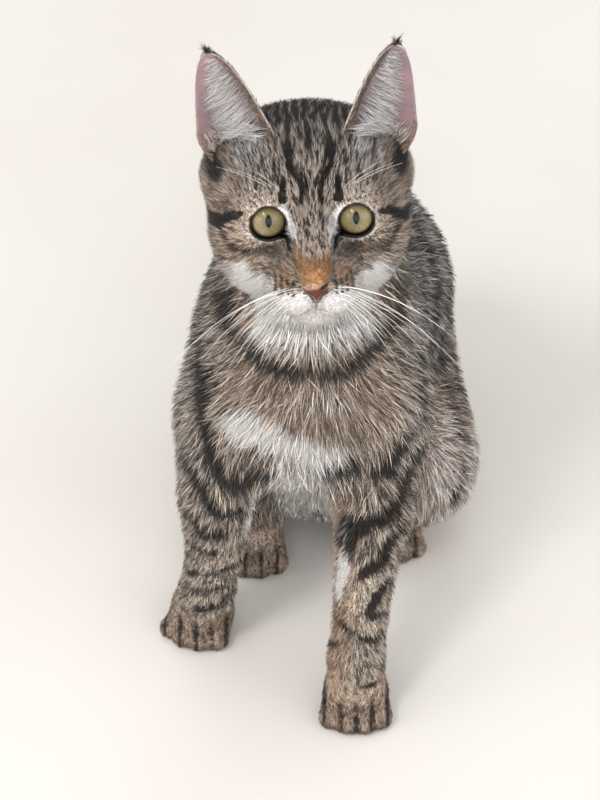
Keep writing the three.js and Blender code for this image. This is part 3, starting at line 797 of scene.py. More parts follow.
# %% Places of the marks on the body, on its outline
necklace = [(-42, 34, 206), (-33, 21, 200), (-23, 6, 196), (-14, -2, 193), (0, -6, 191), (14, -5, 190),
            (26, 1, 193), (33, 9, 198), (40, 20, 202), (48, 36, 208)]
right_shoulder_bars = [
    ([(-47, 36, 184), (-44.5, 19, 170), (-43, 4, 153), (-41, 0, 134), (-35, -2, 124), (-22, 0, 121)], 7.5),
    ([(-24, 0, 121), (-18, -2, 126)], 11.0),
    ([(-52, 20, 132), (-47.5, 2, 119), (-43, -2, 112), (-32, -4, 103), (-24, 0, 102)], 6.5),
    ([(-55, 22, 108), (-50, 2, 98), (-46, 0, 90), (-34, -2, 91)], 6.5),
    ([(-56, 24, 84), (-50, 4, 76), (-36, 0, 76)], 5.0),
]
left_shoulder_bars = [
    ([(56, 34, 168), (52, 14, 152), (46.5, 1, 140), (42, -2, 133), (34, -5, 131)], 6.0),
    ([(24, -5, 135), (14, -5, 129)], 6.5),
    ([(58, 30, 142), (51, 3, 127), (48, -3, 119), (40, -10, 113), (29, -13, 109), (17, -8, 103)], 9.0),
    ([(17, -8, 105), (17, -9, 95)], 13.0),
    ([(52, 12, 112), (44.5, -10.6, 99), (37, -16, 90), (26, -18.5, 84)], 7.0),
    ([(44, 2, 88), (39, -17, 76), (32, -22.6, 66)], 6.0),
]
throat_band = [(-25, -3, 158), (-13, -7.5, 152), (5, -9.5, 145), (14, -8, 140)]
haunch_edge = [(66, 122, 104), (74, 112, 88), (80, 92, 72), (80, 80, 56), (74, 74, 40)]


# %% Bars along a line
def line_position(p, line):
    """How far along a line of stations each point lies, in mm."""
    best, along, travelled = np.full(len(p), 1e9), np.zeros(len(p)), 0.0
    for a, b in zip(line, line[1:]):
        a, b = np.array(a[:3], float), np.array(b[:3], float)
        reach = np.linalg.norm(b - a)
        t = np.clip((p - a) @ (b - a) / reach ** 2, 0, 1)
        away = np.linalg.norm(p - a - t[:, None] * (b - a), axis=1)
        along = np.where(away < best, travelled + t * reach, along)
        best = np.minimum(best, away)
        travelled += reach
    return along


def bars(position, period, share, wander):
    """Repeating bars along a line, each as wide as its share of the period."""
    wave = np.cos(2 * np.pi * position / period + wander)
    edge = math.cos(math.pi * share)
    return smoothstep(wave, edge - 0.35, edge + 0.35)


# %% Dark marks on the body
def dark_on_trunk(p, moved, trunk):
    """The necklace, the shoulder bars, the bars down the flank, and the lines on spine and nape."""
    x, y, z = moved.T
    dark = most(stroke(moved, necklace, 9.5), 0.6 * stroke(moved, [(-40, 40, 222), (-24, 16, 214)], 5),
                0.6 * stroke(moved, [(34, 22, 216), (46, 40, 224)], 5))
    for places, width in right_shoulder_bars + left_shoulder_bars:
        dark = most(dark, 0.92 * stroke(moved, places, width))
    middle = np.interp(y, [40, 80, 130, 160, 212], [5, 6, HIP + 2, HIP + 2, HIP + 1])
    side_bars = bars(0.74 * y - 0.67 * z, 19.0, 0.36, 1.5 * noise(p, 30, 9))
    flank = smoothstep(y, 20, 75) * smoothstep(np.abs(x - middle), 6, 20) * smoothstep(z, 30, 62)
    spine = (1 - smoothstep(np.abs(x - middle) + 3 * noise(p, 9, 19), 3, 12)) * smoothstep(z, 18, 40)
    spine *= smoothstep(y, 60, 84) * (0.8 + 0.3 * noise(p, 12, 20))
    nape = (0.5 + 0.5 * np.cos((x - 5) * 0.55)) * smoothstep(z, 188, 215) * smoothstep(y, 44, 66)
    return most(dark, 0.85 * side_bars * flank * trunk, 0.95 * spine * trunk, 0.8 * nape)


def dark_on_legs(p, moved, haunch, forelegs):
    """Bars round the thighs and forelegs, darker paws, and painted shade in the clefts between the toes."""
    x, y, z = moved.T
    thigh_bars = bars(np.hypot(y - 60, z - 130), 20.0, 0.34, 1.4 * noise(p, 26, 10))
    thigh_bars = thigh_bars * haunch * smoothstep(y, 96, 118) * smoothstep(z, 22, 40)
    leg_bars = bars(z + 0.35 * (y + np.abs(x - 5)), 13.0, 0.33, 1.6 * noise(p, 18, 11))
    leg_bars = leg_bars * forelegs * (1 - smoothstep(z, 66, 84)) * smoothstep(z, 15, 30)
    paw_middle = np.where(x > 0, 25.5, -49)
    # Painted shade in the clefts between the toes, on paws that are darker all over.
    toe_cleft_shade = smoothstep(np.cos((p[:, 0] - paw_middle) * 2 * np.pi / TOE_SPREAD), 0.5, 0.95)
    paw_dark_and_toe_shade = (0.40 + 0.17 * toe_cleft_shade) * (1 - smoothstep(z, 12, 30)) * (forelegs + haunch)
    return most(0.75 * thigh_bars, 0.75 * stroke(moved, haunch_edge, 6.0),
                (0.5 + 0.5 * noise(p, 11, 13)) * leg_bars, paw_dark_and_toe_shade)


def dark_on_tail(p, moved, tail):
    """Rings, a dark tip and a darker upper side."""
    along = line_position(moved, tail_line)
    rings = bars(along, 22.0, 0.40, 0.8 * noise(p, 20, 12))
    return tail * most(0.85 * rings, smoothstep(along, 196, 214), 0.4 * smoothstep(moved[:, 2], 17, 24))


# %% All marks on the body
def body_marks(p, share):
    moved = p + np.column_stack([noise(p, 14, seed) for seed in (6, 7, 8)]) * 2.4
    x, y, z = moved.T
    haunch = sum(share[f"hind_{name}"] for name in SIDES)
    forelegs = sum(share[f"fore_{name}"] for name in SIDES)
    dark = most(dark_on_trunk(p, moved, share["trunk"] + 0.6 * forelegs),
                dark_on_legs(p, moved, haunch, forelegs), dark_on_tail(p, moved, share["tail"]),
                # The last stroke, a dark band low under the belly between the legs, is a painted shadow.
                0.75 * stroke(moved, [(-26, 64, 40), (-10, 62, 34), (8, 60, 38)], 10))
    inner = smoothstep(y, 50, 70) * (1 - smoothstep(y, 92, 112)) * smoothstep(np.abs(x - HIP), 34, 50)
    under = smoothstep(-y, -120, -70) * (1 - smoothstep(z, 128, 150))
    under = under * (1 - smoothstep(np.abs(x - 3), 14, 24))
    chest = smoothstep(-y, -48, -14) * smoothstep(z, 140, 160) * (1 - smoothstep(np.abs(x - 4), 30, 46))
    beard = smoothstep(-y, -42, -16) * smoothstep(z, 197, 207) * (1 - smoothstep(np.abs(x - 5), 20, 35))
    white = most(0.95 * stroke(moved, throat_band, 17, 0.8), 0.6 * under * share["trunk"],
                 0.44 * inner * haunch,
                 0.9 * stroke(moved, [(13, -6, 112), (15.5, -10, 92), (15, -14, 68)], 9, 0.5),
                 0.75 * stroke(moved, [(-14, 6, 108), (-24, 10, 84)], 8, 0.6),
                 0.28 * stroke(moved, [(-9, -7, 179), (5, -8, 176), (20, -6, 171)], 11, 0.8),
                 0.9 * beard, 0.15 * chest)
    paws = (1 - smoothstep(z, 16, 34)) * (forelegs + haunch)
    warm = most(0.24 * chest, 0.75 * inner * haunch, 0.4 * under * (1 - white), 0.3 * paws)
    back = 0.95 * smoothstep(y, 20, 75) * (1 - 0.75 * haunch)
    shoulders = 0.55 * smoothstep(np.abs(x - 4), 36, 50) * smoothstep(z, 96, 130)
    cool = np.clip(back + shoulders, 0, 1)
    return np.column_stack([dark, white * (1 - 0.8 * dark), warm, cool * (1 - warm)])


def markings(p, fields):
    """The four masks at points on or just above the skin."""
    share = nearness(fields)
    on_head = smoothstep(share["head"] + 0.16 * noise(p, 5, 16), 0.25, 0.75)[:, None]
    marks = on_head * head_marks(to_head(p)) + (1 - on_head) * body_marks(p, share)
    return np.clip(marks, 0, 1)


def lifted(p, fields, slope):
    """The place on the coat's outline above a point inside it."""
    return p - outline_field(p, fields)[:, None] * slope


# %% [markdown]
# ## The skin's own finish
# Under the coat the skin shows only as colour between the hairs, but it is bare on the nose, round
# the eyes and inside the ears. Masks on the vertices say where each kind of skin lies. The nose pad
# is a dull brick red, the rims of the lids and nostrils nearly black, and the inner ear a greyish pink.

# %% Where the skin belongs to an ear
def ear_place(name, q):
    """Place of head points on an ear: up its length, across it and out of its opening."""
    up, across, facing = ear_axes(name)
    away = q - ear_root[name]
    s = away @ up / EAR_HEIGHT
    aside = away @ across
    return s, aside / ear_half(name, s, aside), away @ facing


def on_ear(points, skull_distance):
    """+1 for points on the left ear, -1 on the right ear, 0 elsewhere."""
    q = to_head(points)
    found = np.zeros(len(points))
    for name, sign in SIDES.items():
        s, t, out = ear_place(name, q)
        mine = (skull_distance > 0.9) & (s > -0.1) & (np.abs(t) < 1.4) & (np.abs(out) < 16)
        found[mine & (q[:, 0] * sign > 0)] = sign
    return found


# %% Where the skin is bare
def bare_masks(points):
    """Nose pad, dark rims and ear skin at points on the skin."""
    q = mirrored(points)
    side_edge = 5.6 * np.clip((q[:, 1] + 28.6) / 8.2, 0.05, 1.05) - q[:, 0]
    top_edge = -19.7 - 0.02 * q[:, 0] ** 2 - q[:, 1]
    nose = smoothstep(np.minimum(side_edge, top_edge), -0.2, 0.4) * smoothstep(q[:, 2], 14, 16)
    from_eye = np.linalg.norm(q - EYE_CENTRE, axis=1)
    low = smoothstep(OPENING_CENTRE[1] - q[:, 1], 0, 5)
    corner = 1 - smoothstep(np.hypot(q[:, 0] - 10.4, q[:, 1] + 7.4), 1.0, 3.4)
    rim_width = 0.95 + 0.40 * low + 0.7 * corner
    rim = (1 - smoothstep(opening_distance(q) - rim_width, -0.1, 0.5)) * (1 - smoothstep(from_eye, 13, 15))
    nostril = 1 - smoothstep(limb(q, *NOSTRIL), 0.1, 0.7)
    groove = 1 - smoothstep(limb(q, (0, -25.5, 24, 0.3), (0, -30.2, 21.4, 0.3)), 0.2, 0.9)
    lips = 0.7 * (1 - smoothstep(limb(q, (0, -30.4, 21, 0.5), (8, -33.4, 15, 0.5)), 0.3, 1.3))
    rim = most(rim, nostril, groove, lips)
    return nose * (1 - rim), rim


# %% Paint the masks on the skin
def set_masks(mesh, name, values):
    attribute = mesh.attributes.new(name, "FLOAT_COLOR", "POINT")
    packed = np.ones((len(values), 4), np.float32)
    packed[:, :values.shape[1]] = values
    attribute.data.foreach_set("color", packed.ravel())


def outline_slope(p, step=0.5):
    offsets = np.eye(3) * step
    return np.column_stack([outline_field(p + o) - outline_field(p - o) for o in offsets]) / (2 * step)


def surface_marks(p, fields):
    slope = outline_slope(p)
    slope /= np.maximum(np.linalg.norm(slope, axis=1, keepdims=True), LEAST_SLOPE)
    return markings(lifted(p, fields, slope), fields)


skin_at = plan_points(skin.data)
skin_fields = part_fields(skin_at)
skull_distance = outline_field(skin_at, skin_fields) + coat_depth(skin_at, skin_fields)
ear_side = on_ear(skin_at, skull_distance)
nose_mask, rim_mask = bare_masks(skin_at)
skin_normals = np.empty(len(skin.data.vertices) * 3, np.float32)
skin.data.vertices.foreach_get("normal", skin_normals)
skin_normals = skin_normals.reshape(-1, 3).astype(float)
inner_ear = np.zeros(len(skin_at))
for side_name, sign in SIDES.items():
    facing = from_head(ear_axes(side_name)[2]) - head_origin
    s, t, out = ear_place(side_name, to_head(skin_at))
    inside = (ear_side == sign) & (skin_normals @ facing > 0.0)
    inner_ear[inside] = (1 - smoothstep(np.abs(t[inside]), 0.86, 1.0)) * smoothstep(s[inside], 0.0, 0.08)
skin_marks = surface_marks(skin_at, skin_fields)
set_masks(skin.data, "pattern", skin_marks)
set_masks(skin.data, "bare", np.column_stack([nose_mask, rim_mask, inner_ear]))
print("skin painted", clock())

# %% [markdown]
# ## Unwrapping
# Each tuft will be baked as a tiny patch at the place of its root on the skin's unwrap, so the skin
# is unwrapped once, before the coat grows. Smart projection is enough, as no pattern has to line up.

# %% Unwrap the skin
def unwrap(obj):
    obj.data.uv_layers.new(name="OFBake")
    bpy.context.view_layer.objects.active = obj
    obj.select_set(True)
    bpy.ops.object.mode_set(mode="EDIT")
    bpy.ops.mesh.select_all(action="SELECT")
    bpy.ops.uv.smart_project(angle_limit=math.radians(72), island_margin=0.002)
    bpy.ops.object.mode_set(mode="OBJECT")
    obj.select_set(False)


unwrap(skin)
print("unwrapped", clock())

# %% [markdown]
# ## The coat
# Hair curves would be lost in the export, so the coat is real mesh: hundreds of thousands of thin
# closed locks. Each grows from a random place on the skin, leans the way that the hair lies there,
# and ends at the outline that the solids give. Short straight locks need only four faces, so there
# can be many; a sparser layer of longer bent ones breaks the outline up.

# %% Sampling places on the skin
class Surface:
    """The skin's triangles, ready for scattering roots by area."""

    def __init__(self, mesh):
        mesh.calc_loop_triangles()
        count = len(mesh.loop_triangles)
        self.corners = np.empty(count * 3, np.int32)
        self.loops = np.empty(count * 3, np.int32)
        mesh.loop_triangles.foreach_get("vertices", self.corners)
        mesh.loop_triangles.foreach_get("loops", self.loops)
        self.corners, self.loops = self.corners.reshape(-1, 3), self.loops.reshape(-1, 3)
        self.uv = np.empty(len(mesh.loops) * 2, np.float32)
        mesh.uv_layers["OFBake"].data.foreach_get("uv", self.uv)
        self.uv = self.uv.reshape(-1, 2)
        a, b, c = (skin_at[self.corners[:, k]] for k in range(3))
        cross = np.cross(b - a, c - a)
        self.area = np.linalg.norm(cross, axis=1) / 2
        self.middle = (a + b + c) / 3

    def scatter(self, density):
        """Random roots, about density per square millimetre: triangles and weights of their corners."""
        share = np.cumsum(self.area * density)
        count = int(share[-1])
        picked = np.searchsorted(share, rng.random(count) * share[-1])
        r1, r2 = np.sqrt(rng.random(count)), rng.random(count)
        weights = np.column_stack([1 - r1, r1 * (1 - r2), r1 * r2])
        return picked, weights

    def blend_corners(self, values, picked, weights):
        return np.einsum("nk,nkd->nd", weights, values[self.corners[picked]])

    def root_uv(self, picked, weights):
        return np.einsum("nk,nkd->nd", weights, self.uv[self.loops[picked]])


surface = Surface(skin.data)
middle_fields = part_fields(surface.middle)
middle_share = nearness(middle_fields)
middle_normal = skin_normals[surface.corners].mean(axis=1)
middle_ear = ear_side[surface.corners].mean(axis=1)
middle_bare = np.column_stack([nose_mask, rim_mask, inner_ear])[surface.corners].mean(axis=1)
print("skin area", round(surface.area.sum() / 100), "square cm")


# %% The lie of the coat
def lie_of_coat(p, fields):
    """The direction in which hair lies, before it is laid onto the skin."""
    share = nearness(fields)
    q = to_head(p)
    radial = q - (NOSE_TIP + [0, 1.0, 3.0])
    radial[:, 1] += 4.0 * np.sign(q[:, 1] + 12)
    radial /= np.linalg.norm(radial, axis=1, keepdims=True)
    from_eye = q - EYE_CENTRE * np.where(q[:, :1] > 0, [[1, 1, 1]], [[-1, 1, 1]])
    by_eye = 1 - smoothstep(np.linalg.norm(from_eye, axis=1), EYE_RADIUS + 1, EYE_RADIUS + 7)
    from_eye[:, 2] = 0
    radial += 2.0 * by_eye[:, None] * from_eye / (np.linalg.norm(from_eye, axis=1, keepdims=True) + 1e-6)
    lie = share["head"][:, None] * (radial @ head_turn.T)
    outward = np.clip((p[:, 0] - 4) / 50, -1, 1) * smoothstep(-p[:, 1], -60, -10)
    down = np.column_stack([0.38 * outward, 0.45 + 0 * outward, -0.9 + 0 * outward])
    lie += share["trunk"][:, None] * down
    for name in SIDES:
        turned = math.radians(forepaw[name]["turn"])
        on_paw = (1 - smoothstep(p[:, 2], 12, 30))[:, None]
        leg = np.column_stack([0.25 * outward, 0.25 + 0 * outward, -1.0 + 0 * outward])
        paw = np.array([math.sin(turned), -math.cos(turned), -0.25])
        lie += share[f"fore_{name}"][:, None] * (leg * (1 - on_paw) + paw * on_paw)
        on_foot = (1 - smoothstep(p[:, 2], 14, 32))[:, None]
        foot = np.array([0.0, -1.0, -0.2])
        lie += share[f"hind_{name}"][:, None] * (np.array([0, 0.35, -0.9]) * (1 - on_foot) + foot * on_foot)
    ends = np.array([station[:3] for station in tail_line], float)
    nearest = np.argmin(np.linalg.norm(p[:, None] - ends[None, :-1], axis=2), axis=1)
    lie += share["tail"][:, None] * (ends[nearest + 1] - ends[nearest]) / 34.0
    return lie


def laid_on(direction, normal):
    """The direction pressed flat onto the skin."""
    flat_part = direction - (direction * normal).sum(axis=1, keepdims=True) * normal
    return flat_part / np.maximum(np.linalg.norm(flat_part, axis=1, keepdims=True), 1e-6)


# %% The shape of a lock
BLADE_FACES = np.array([(0, 2, 1), (0, 1, 3), (1, 2, 3), (2, 0, 3)])
LOCK_FACES = np.array([(0, 2, 1), (0, 1, 4), (0, 4, 3), (1, 2, 5), (1, 5, 4), (2, 0, 3), (2, 3, 5),
                       (3, 4, 6), (4, 5, 6), (5, 3, 6)])


def ring_round(centre, side, rise, width):
    """A flat triangle of vertices round a point of a lock."""
    half = width[:, None] / 2
    return [centre - side * half, centre + side * half, centre + rise * half * 1.1]


def locks(root, middle, tip, side, rise, width):
    """Vertices and faces of closed locks. With no middle they are straight blades of four faces."""
    sunk = root - rise * 0.25
    rings = ring_round(sunk, side, rise, width)
    if middle is None:
        stack, pattern, along = rings + [tip], BLADE_FACES, [0, 0, 0.05, 1]
    else:
        stack = rings + ring_round(middle, side, rise, width * 0.72) + [tip]
        pattern, along = LOCK_FACES, [0, 0, 0.03, 0.55, 0.55, 0.58, 1]
    points = np.stack(stack, axis=1)
    points[:, :, 2] = np.maximum(points[:, :, 2], HAIR_ABOVE_FLOOR)
    size = points.shape[1]
    faces = pattern[None] + (np.arange(len(root)) * size)[:, None, None]
    return points, faces, np.array(along)


# %% Joining locks into one piece
PATCH = 0.003                      # size of a lock's patch on the unwrap


def patch_offsets(size):
    """Where a lock's vertices fall on its patch of the unwrap: across, and from root to tip."""
    across = {4: [-0.5, 0.5, 0.0, 0.0], 7: [-0.5, 0.5, 0.0, -0.4, 0.4, 0.0, 0.0]}[size]
    height = {4: [-0.5, -0.5, -0.62, 0.5], 7: [-0.5, -0.5, -0.62, 0.05, 0.05, 0.1, 0.5]}[size]
    return np.column_stack([across, height]) * PATCH


def coat_piece(name, batches):
    """Joins batches of locks into one piece with its masks and unwrap."""
    points, faces, uvs, marks, hairs, base = [], [], [], [], [], 0
    for batch in batches:
        size = batch["points"].shape[1]
        points.append(batch["points"].reshape(-1, 3))
        local = batch["faces"] - batch["faces"].min() + base
        faces.append(local.reshape(-1, 3))
        per_vertex = batch["uv"][:, None] + patch_offsets(size)[None]
        uvs.append(per_vertex.reshape(-1, 2))
        marks.append(np.repeat(batch["marks"], size, axis=0))
        count = len(batch["points"])
        hairs.append(np.column_stack([np.tile(batch["along"], count), np.repeat(batch["tick"], size),
                                      np.repeat(batch["shade"], size)]))
        base += count * size
    points, faces = np.concatenate(points), np.concatenate(faces)
    obj = make_object(name, points, faces)
    set_masks(obj.data, "pattern", np.concatenate(marks))
    set_masks(obj.data, "hair", np.concatenate(hairs))
    layer = obj.data.uv_layers.new(name="OFBake")
    layer.data.foreach_set("uv", np.concatenate(uvs)[faces.ravel()].astype(np.float32).ravel())
    print(name, len(faces), "faces")
    return obj


# %% How neighbouring locks gather
KEY_BASE = 1024                    # more cells than the model has along any side


def clumped(root, tip, size, pull):
    """Tips drawn together in small neighbourhoods, as damp or lying hair gathers."""
    shifted = root + size * 0.6 * np.column_stack([noise(root, size * 1.7, seed) for seed in (20, 21, 22)])
    cell = np.floor(shifted / size).astype(np.int64) + KEY_BASE // 2
    keys = cell @ np.array([1, KEY_BASE, KEY_BASE ** 2])
    _, group = np.unique(keys, return_inverse=True)
    count = np.bincount(group)[:, None]
    reach = tip - root
    mean_root = np.column_stack([np.bincount(group, root[:, k]) for k in range(3)]) / count
    mean_reach = np.column_stack([np.bincount(group, reach[:, k]) for k in range(3)]) / count
    together = mean_root[group] + mean_reach[group] + 0.25 * (root - mean_root[group])
    return tip + pull * (together - tip)


def ruff(p):
    """1 on the chin, jowls and throat, where the hair of the head is longest."""
    q = to_head(p)
    return smoothstep(-q[:, 1], 20, 36) * smoothstep(14 - q[:, 2], 0, 22) * smoothstep(q[:, 1], -75, -50)


LANE_SHARE, CHANCE_SHARE = 0.8, 0.2          # what a lock's tone owes to its lane, and to chance


def lane_ranks(centre, lie, reach, lane):
    """A number between 0 and 1 for each lock, alike for neighbours in a lane along the lie of the hair."""
    steps = np.linspace(-0.35, 0.35, 4)
    lanes = sum(noise(centre + lie * (reach * step)[:, None], lane, 40) for step in steps)
    return LANE_SHARE * np.argsort(np.argsort(lanes)) / len(lanes) + CHANCE_SHARE * rng.random(len(lanes))


# %% Growing locks from the skin
RUFF_LENGTH, RUFF_HEIGHT = 6.5, 0.8          # what the ruff adds, in mm
SWIRL, SWIRL_SIZE = 0.22, 16


def grow(density, length, width, heights, bent=False, clump=(4.5, 0.35), scatter_angle=0.22, lane=0.75):
    """Locks over the skin. Length and width are functions, of the coat's depth and of the lock's reach, in
    mm; heights is the range of the tips' height as a share of the depth, and lane the width of a lane."""
    picked, weights = surface.scatter(density)
    root = surface.blend_corners(skin_at, picked, weights)
    normal = surface.blend_corners(skin_normals, picked, weights)
    normal /= np.linalg.norm(normal, axis=1, keepdims=True)
    fields = part_fields(root)
    depth = coat_depth(root, fields)
    lie = lie_of_coat(root, fields)
    swirl = np.column_stack([noise(root, SWIRL_SIZE, seed) for seed in (30, 31, 32)]) * SWIRL
    lie = laid_on(lie + swirl + rng.normal(0, scatter_angle, root.shape), normal)
    longer = ruff(root)
    from_eye = np.linalg.norm(mirrored(root) - EYE_CENTRE, axis=1)
    by_eye = 1 - smoothstep(from_eye, EYE_RADIUS + 1, EYE_RADIUS + 6)
    reach = (length(depth) + RUFF_LENGTH * longer) * (1 - 0.5 * by_eye) * rng.uniform(0.75, 1.15, len(root))
    goal = (depth + RUFF_HEIGHT * longer) * (1 - 0.45 * by_eye) * rng.uniform(*heights, len(root))
    flat_reach = np.sqrt(np.maximum(reach ** 2 - goal ** 2, 0.3 * reach ** 2))[:, None]
    tip = root + lie * flat_reach + normal * goal[:, None]
    tip = clumped(root, tip, *clump)
    for _ in range(2):
        off = goal - skin_field(tip, raised_lids)
        tip = tip + normal * np.clip(off, -4, 4)[:, None]
    side = np.cross(normal, lie)
    wide = width(reach) * rng.uniform(0.8, 1.2, len(root))
    middle = None
    if bent:
        middle = root + (tip - root) * 0.52
        lift = 0.62 * goal - skin_field(middle, raised_lids)
        middle = middle + normal * np.clip(lift, -3, 3)[:, None]
    points, faces, along = locks(root, middle, tip, side, normal, wide)
    centre = root + 0.55 * (tip - root)
    marks = surface_marks(centre, part_fields(centre))
    return {"points": points, "faces": faces, "along": along, "uv": surface.root_uv(picked, weights),
            "marks": marks, "tick": lane_ranks(centre, lie, reach, lane), "shade": rng.random(len(root)),
            "root": root}


# %% How densely the coat grows
def density_on_skin():
    """Locks per square millimetre, on the body and on the face, with none on bare skin."""
    q = mirrored(surface.middle)
    legs = sum(middle_share[f"fore_{n}"] + middle_share[f"hind_{n}"] for n in SIDES)
    low = 1 - smoothstep(surface.middle[:, 2], 40, 80)
    ahead = smoothstep(-surface.middle[:, 1], -60, -20) * smoothstep(surface.middle[:, 2], 60, 100)
    hidden = smoothstep(-middle_normal[:, 2], 0.3, 0.8) * (1 - legs)
    body = (1.0 + 0.45 * ahead) * (1 - 0.5 * hidden) + 1.1 * legs * low + 0.5 * middle_share["tail"]
    bare = np.max(middle_bare, axis=1)
    covered = (bare < 0.35) & (middle_ear == 0)
    in_socket = np.linalg.norm(q - EYE_CENTRE, axis=1) < EYE_RADIUS + 0.6
    in_mouth = skin_field(surface.middle) < -0.4
    covered &= ~in_socket & ~in_mouth & (surface.middle[:, 2] > 0.5)
    near_face = smoothstep(middle_share["head"], 0.4, 0.8)
    front = near_face * smoothstep(q[:, 2], -46, -34)
    face = 3.2 + 2.6 * smoothstep(q[:, 2], -20, 0)
    return body * (1 - front) * covered * (1 + 1.2 * near_face), face * front * covered


body_density, face_density = density_on_skin()
print("locks wanted: body", int((surface.area * body_density).sum()),
      "face", int((surface.area * face_density).sum()))


# %% The coat on the body
def short_length(depth):
    return np.clip(depth * 2.1, 2.6, 13.5)


def fine_width(reach):
    return 0.23 + 0.024 * reach


def guard_length(depth):
    return np.clip(depth * 2.55, 4, 16)


def guard_width(reach):
    return 0.22 + 0.032 * reach


PIECES, SHORT_LOCKS, GUARD_LOCKS = 6, 38500, 2800
wanted = (surface.area * body_density).sum()
body_pieces = []
for number in range(PIECES):
    under = grow(body_density * SHORT_LOCKS / wanted, short_length, fine_width, (0.35, 1.0))
    guard = grow(body_density * GUARD_LOCKS / wanted, guard_length, guard_width, (0.8, 1.12), bent=True,
                 clump=(6.0, 0.2), scatter_angle=0.3)
    body_pieces.append(coat_piece(f"coat_body_{number + 1}", [under, guard]))
print("body coat", clock())


# %% The coat on the face, with an unwrap of the head alone
def head_unwrap(p):
    """The head's surface rolled flat from the crown outwards, so the nose stays whole."""
    away = to_head(p) - [0, -5, -35]
    away /= np.linalg.norm(away, axis=1, keepdims=True)
    angle = np.arccos(np.clip(away[:, 2], -1, 1)) / math.pi
    round_face = away[:, :2] / np.maximum(np.linalg.norm(away[:, :2], axis=1, keepdims=True), 1e-6)
    return 0.5 + 0.49 * angle[:, None] * round_face


def face_width(reach):
    return 0.20 + 0.045 * reach


FACE_PIECES, FACE_LOCKS = 2, 36000
wanted = (surface.area * face_density).sum()
face_pieces = []
for number in range(FACE_PIECES):
    batch = grow(face_density * FACE_LOCKS / wanted, short_length, face_width, (0.4, 1.15),
                 clump=(1.8, 0.3), scatter_angle=0.18, lane=0.6)
    batch["uv"] = head_unwrap(batch["root"])
    face_pieces.append(coat_piece(f"coat_face_{number + 1}", [batch]))
print("face coat", clock())


# %% [markdown]
# ## Ear fur
# The backs of the ears carry very short dense fur, the rims a fine cream edge, and the tips a tiny
# dark tassel. From the inner edge long pale hairs reach across the opening, which keep dirt out of
# a real ear. They are placed on the leaf by its own coordinates rather than scattered.

# %% Hairs placed on the ears
FLOW_STEP = 0.02


def flow_on_ear(name, s, t):
    """The way that short fur lies on an ear: along the leaf, closing in on its tip."""
    s = np.clip(s, -0.2, 1 - FLOW_STEP)
    flow = ear_point(name, s + FLOW_STEP, t, 0) - ear_point(name, s - FLOW_STEP, t, 0)
    return flow / np.linalg.norm(flow, axis=1, keepdims=True)


def hairs_on_ear(name, s, t, out, reach, width, marks, droop=None, tick=(0, 1)):
    """Locks with roots at (s, t) and a reach along the flow, across and out, in mm. Droop bends them."""
    _, across, facing = ear_axes(name)
    root = ear_point(name, s, t, out)
    move = reach[:, :1] * flow_on_ear(name, s, t) + reach[:, 1:2] * across + reach[:, 2:] * facing
    length = np.linalg.norm(move, axis=1, keepdims=True)
    middle = None if droop is None else from_head(root + 0.5 * move + droop * length * facing)
    side = np.cross(move, facing)
    side /= np.maximum(np.linalg.norm(side, axis=1, keepdims=True), 1e-6)
    rise = np.repeat(facing[None] * np.sign(out if out else 1.0), len(s), axis=0)
    points, faces, along = locks(from_head(root), middle, from_head(root + move), side @ head_turn.T,
                                 rise @ head_turn.T, width)
    return {"points": points, "faces": faces, "along": along, "uv": head_unwrap(from_head(root)),
            "marks": np.repeat(np.array([marks], float), len(s), axis=0),
            "tick": rng.uniform(*tick, len(s)), "shade": rng.random(len(s))}


def ear_layer(name, count, up, edge, aside, out, reach, spread, widths, marks, droop=None, tick=(0, 1)):
    """One kind of hair on an ear. Its roots lie between two places up the ear and two places aside, on
    the given edge, or on either if that is None. The reach is along, across and out, or a function of s."""
    s = rng.uniform(*up, count)
    edge = rng.choice([-1.0, 1.0], count) if edge is None else edge
    t = edge * rng.uniform(*aside, count)
    reach = reach(s) if callable(reach) else np.array(reach)
    reach = reach + rng.normal(0, 1, (count, 3)) * spread
    return hairs_on_ear(name, s, t, out, reach, rng.uniform(*widths, count), marks, droop, tick)


# %% The layers of fur on an ear
def across_opening(outer):
    """Reach of the long pale hair, which gets shorter towards the tip of the ear."""
    def reach(s):
        near_tip = smoothstep(s, 0.5, 0.95)
        longest = np.column_stack([-3.5 - 3 * (1 - s), np.full(len(s), outer * 11.0), 2.6 - 2.0 * near_tip])
        return longest * (1.1 - 0.65 * near_tip)[:, None]
    return reach


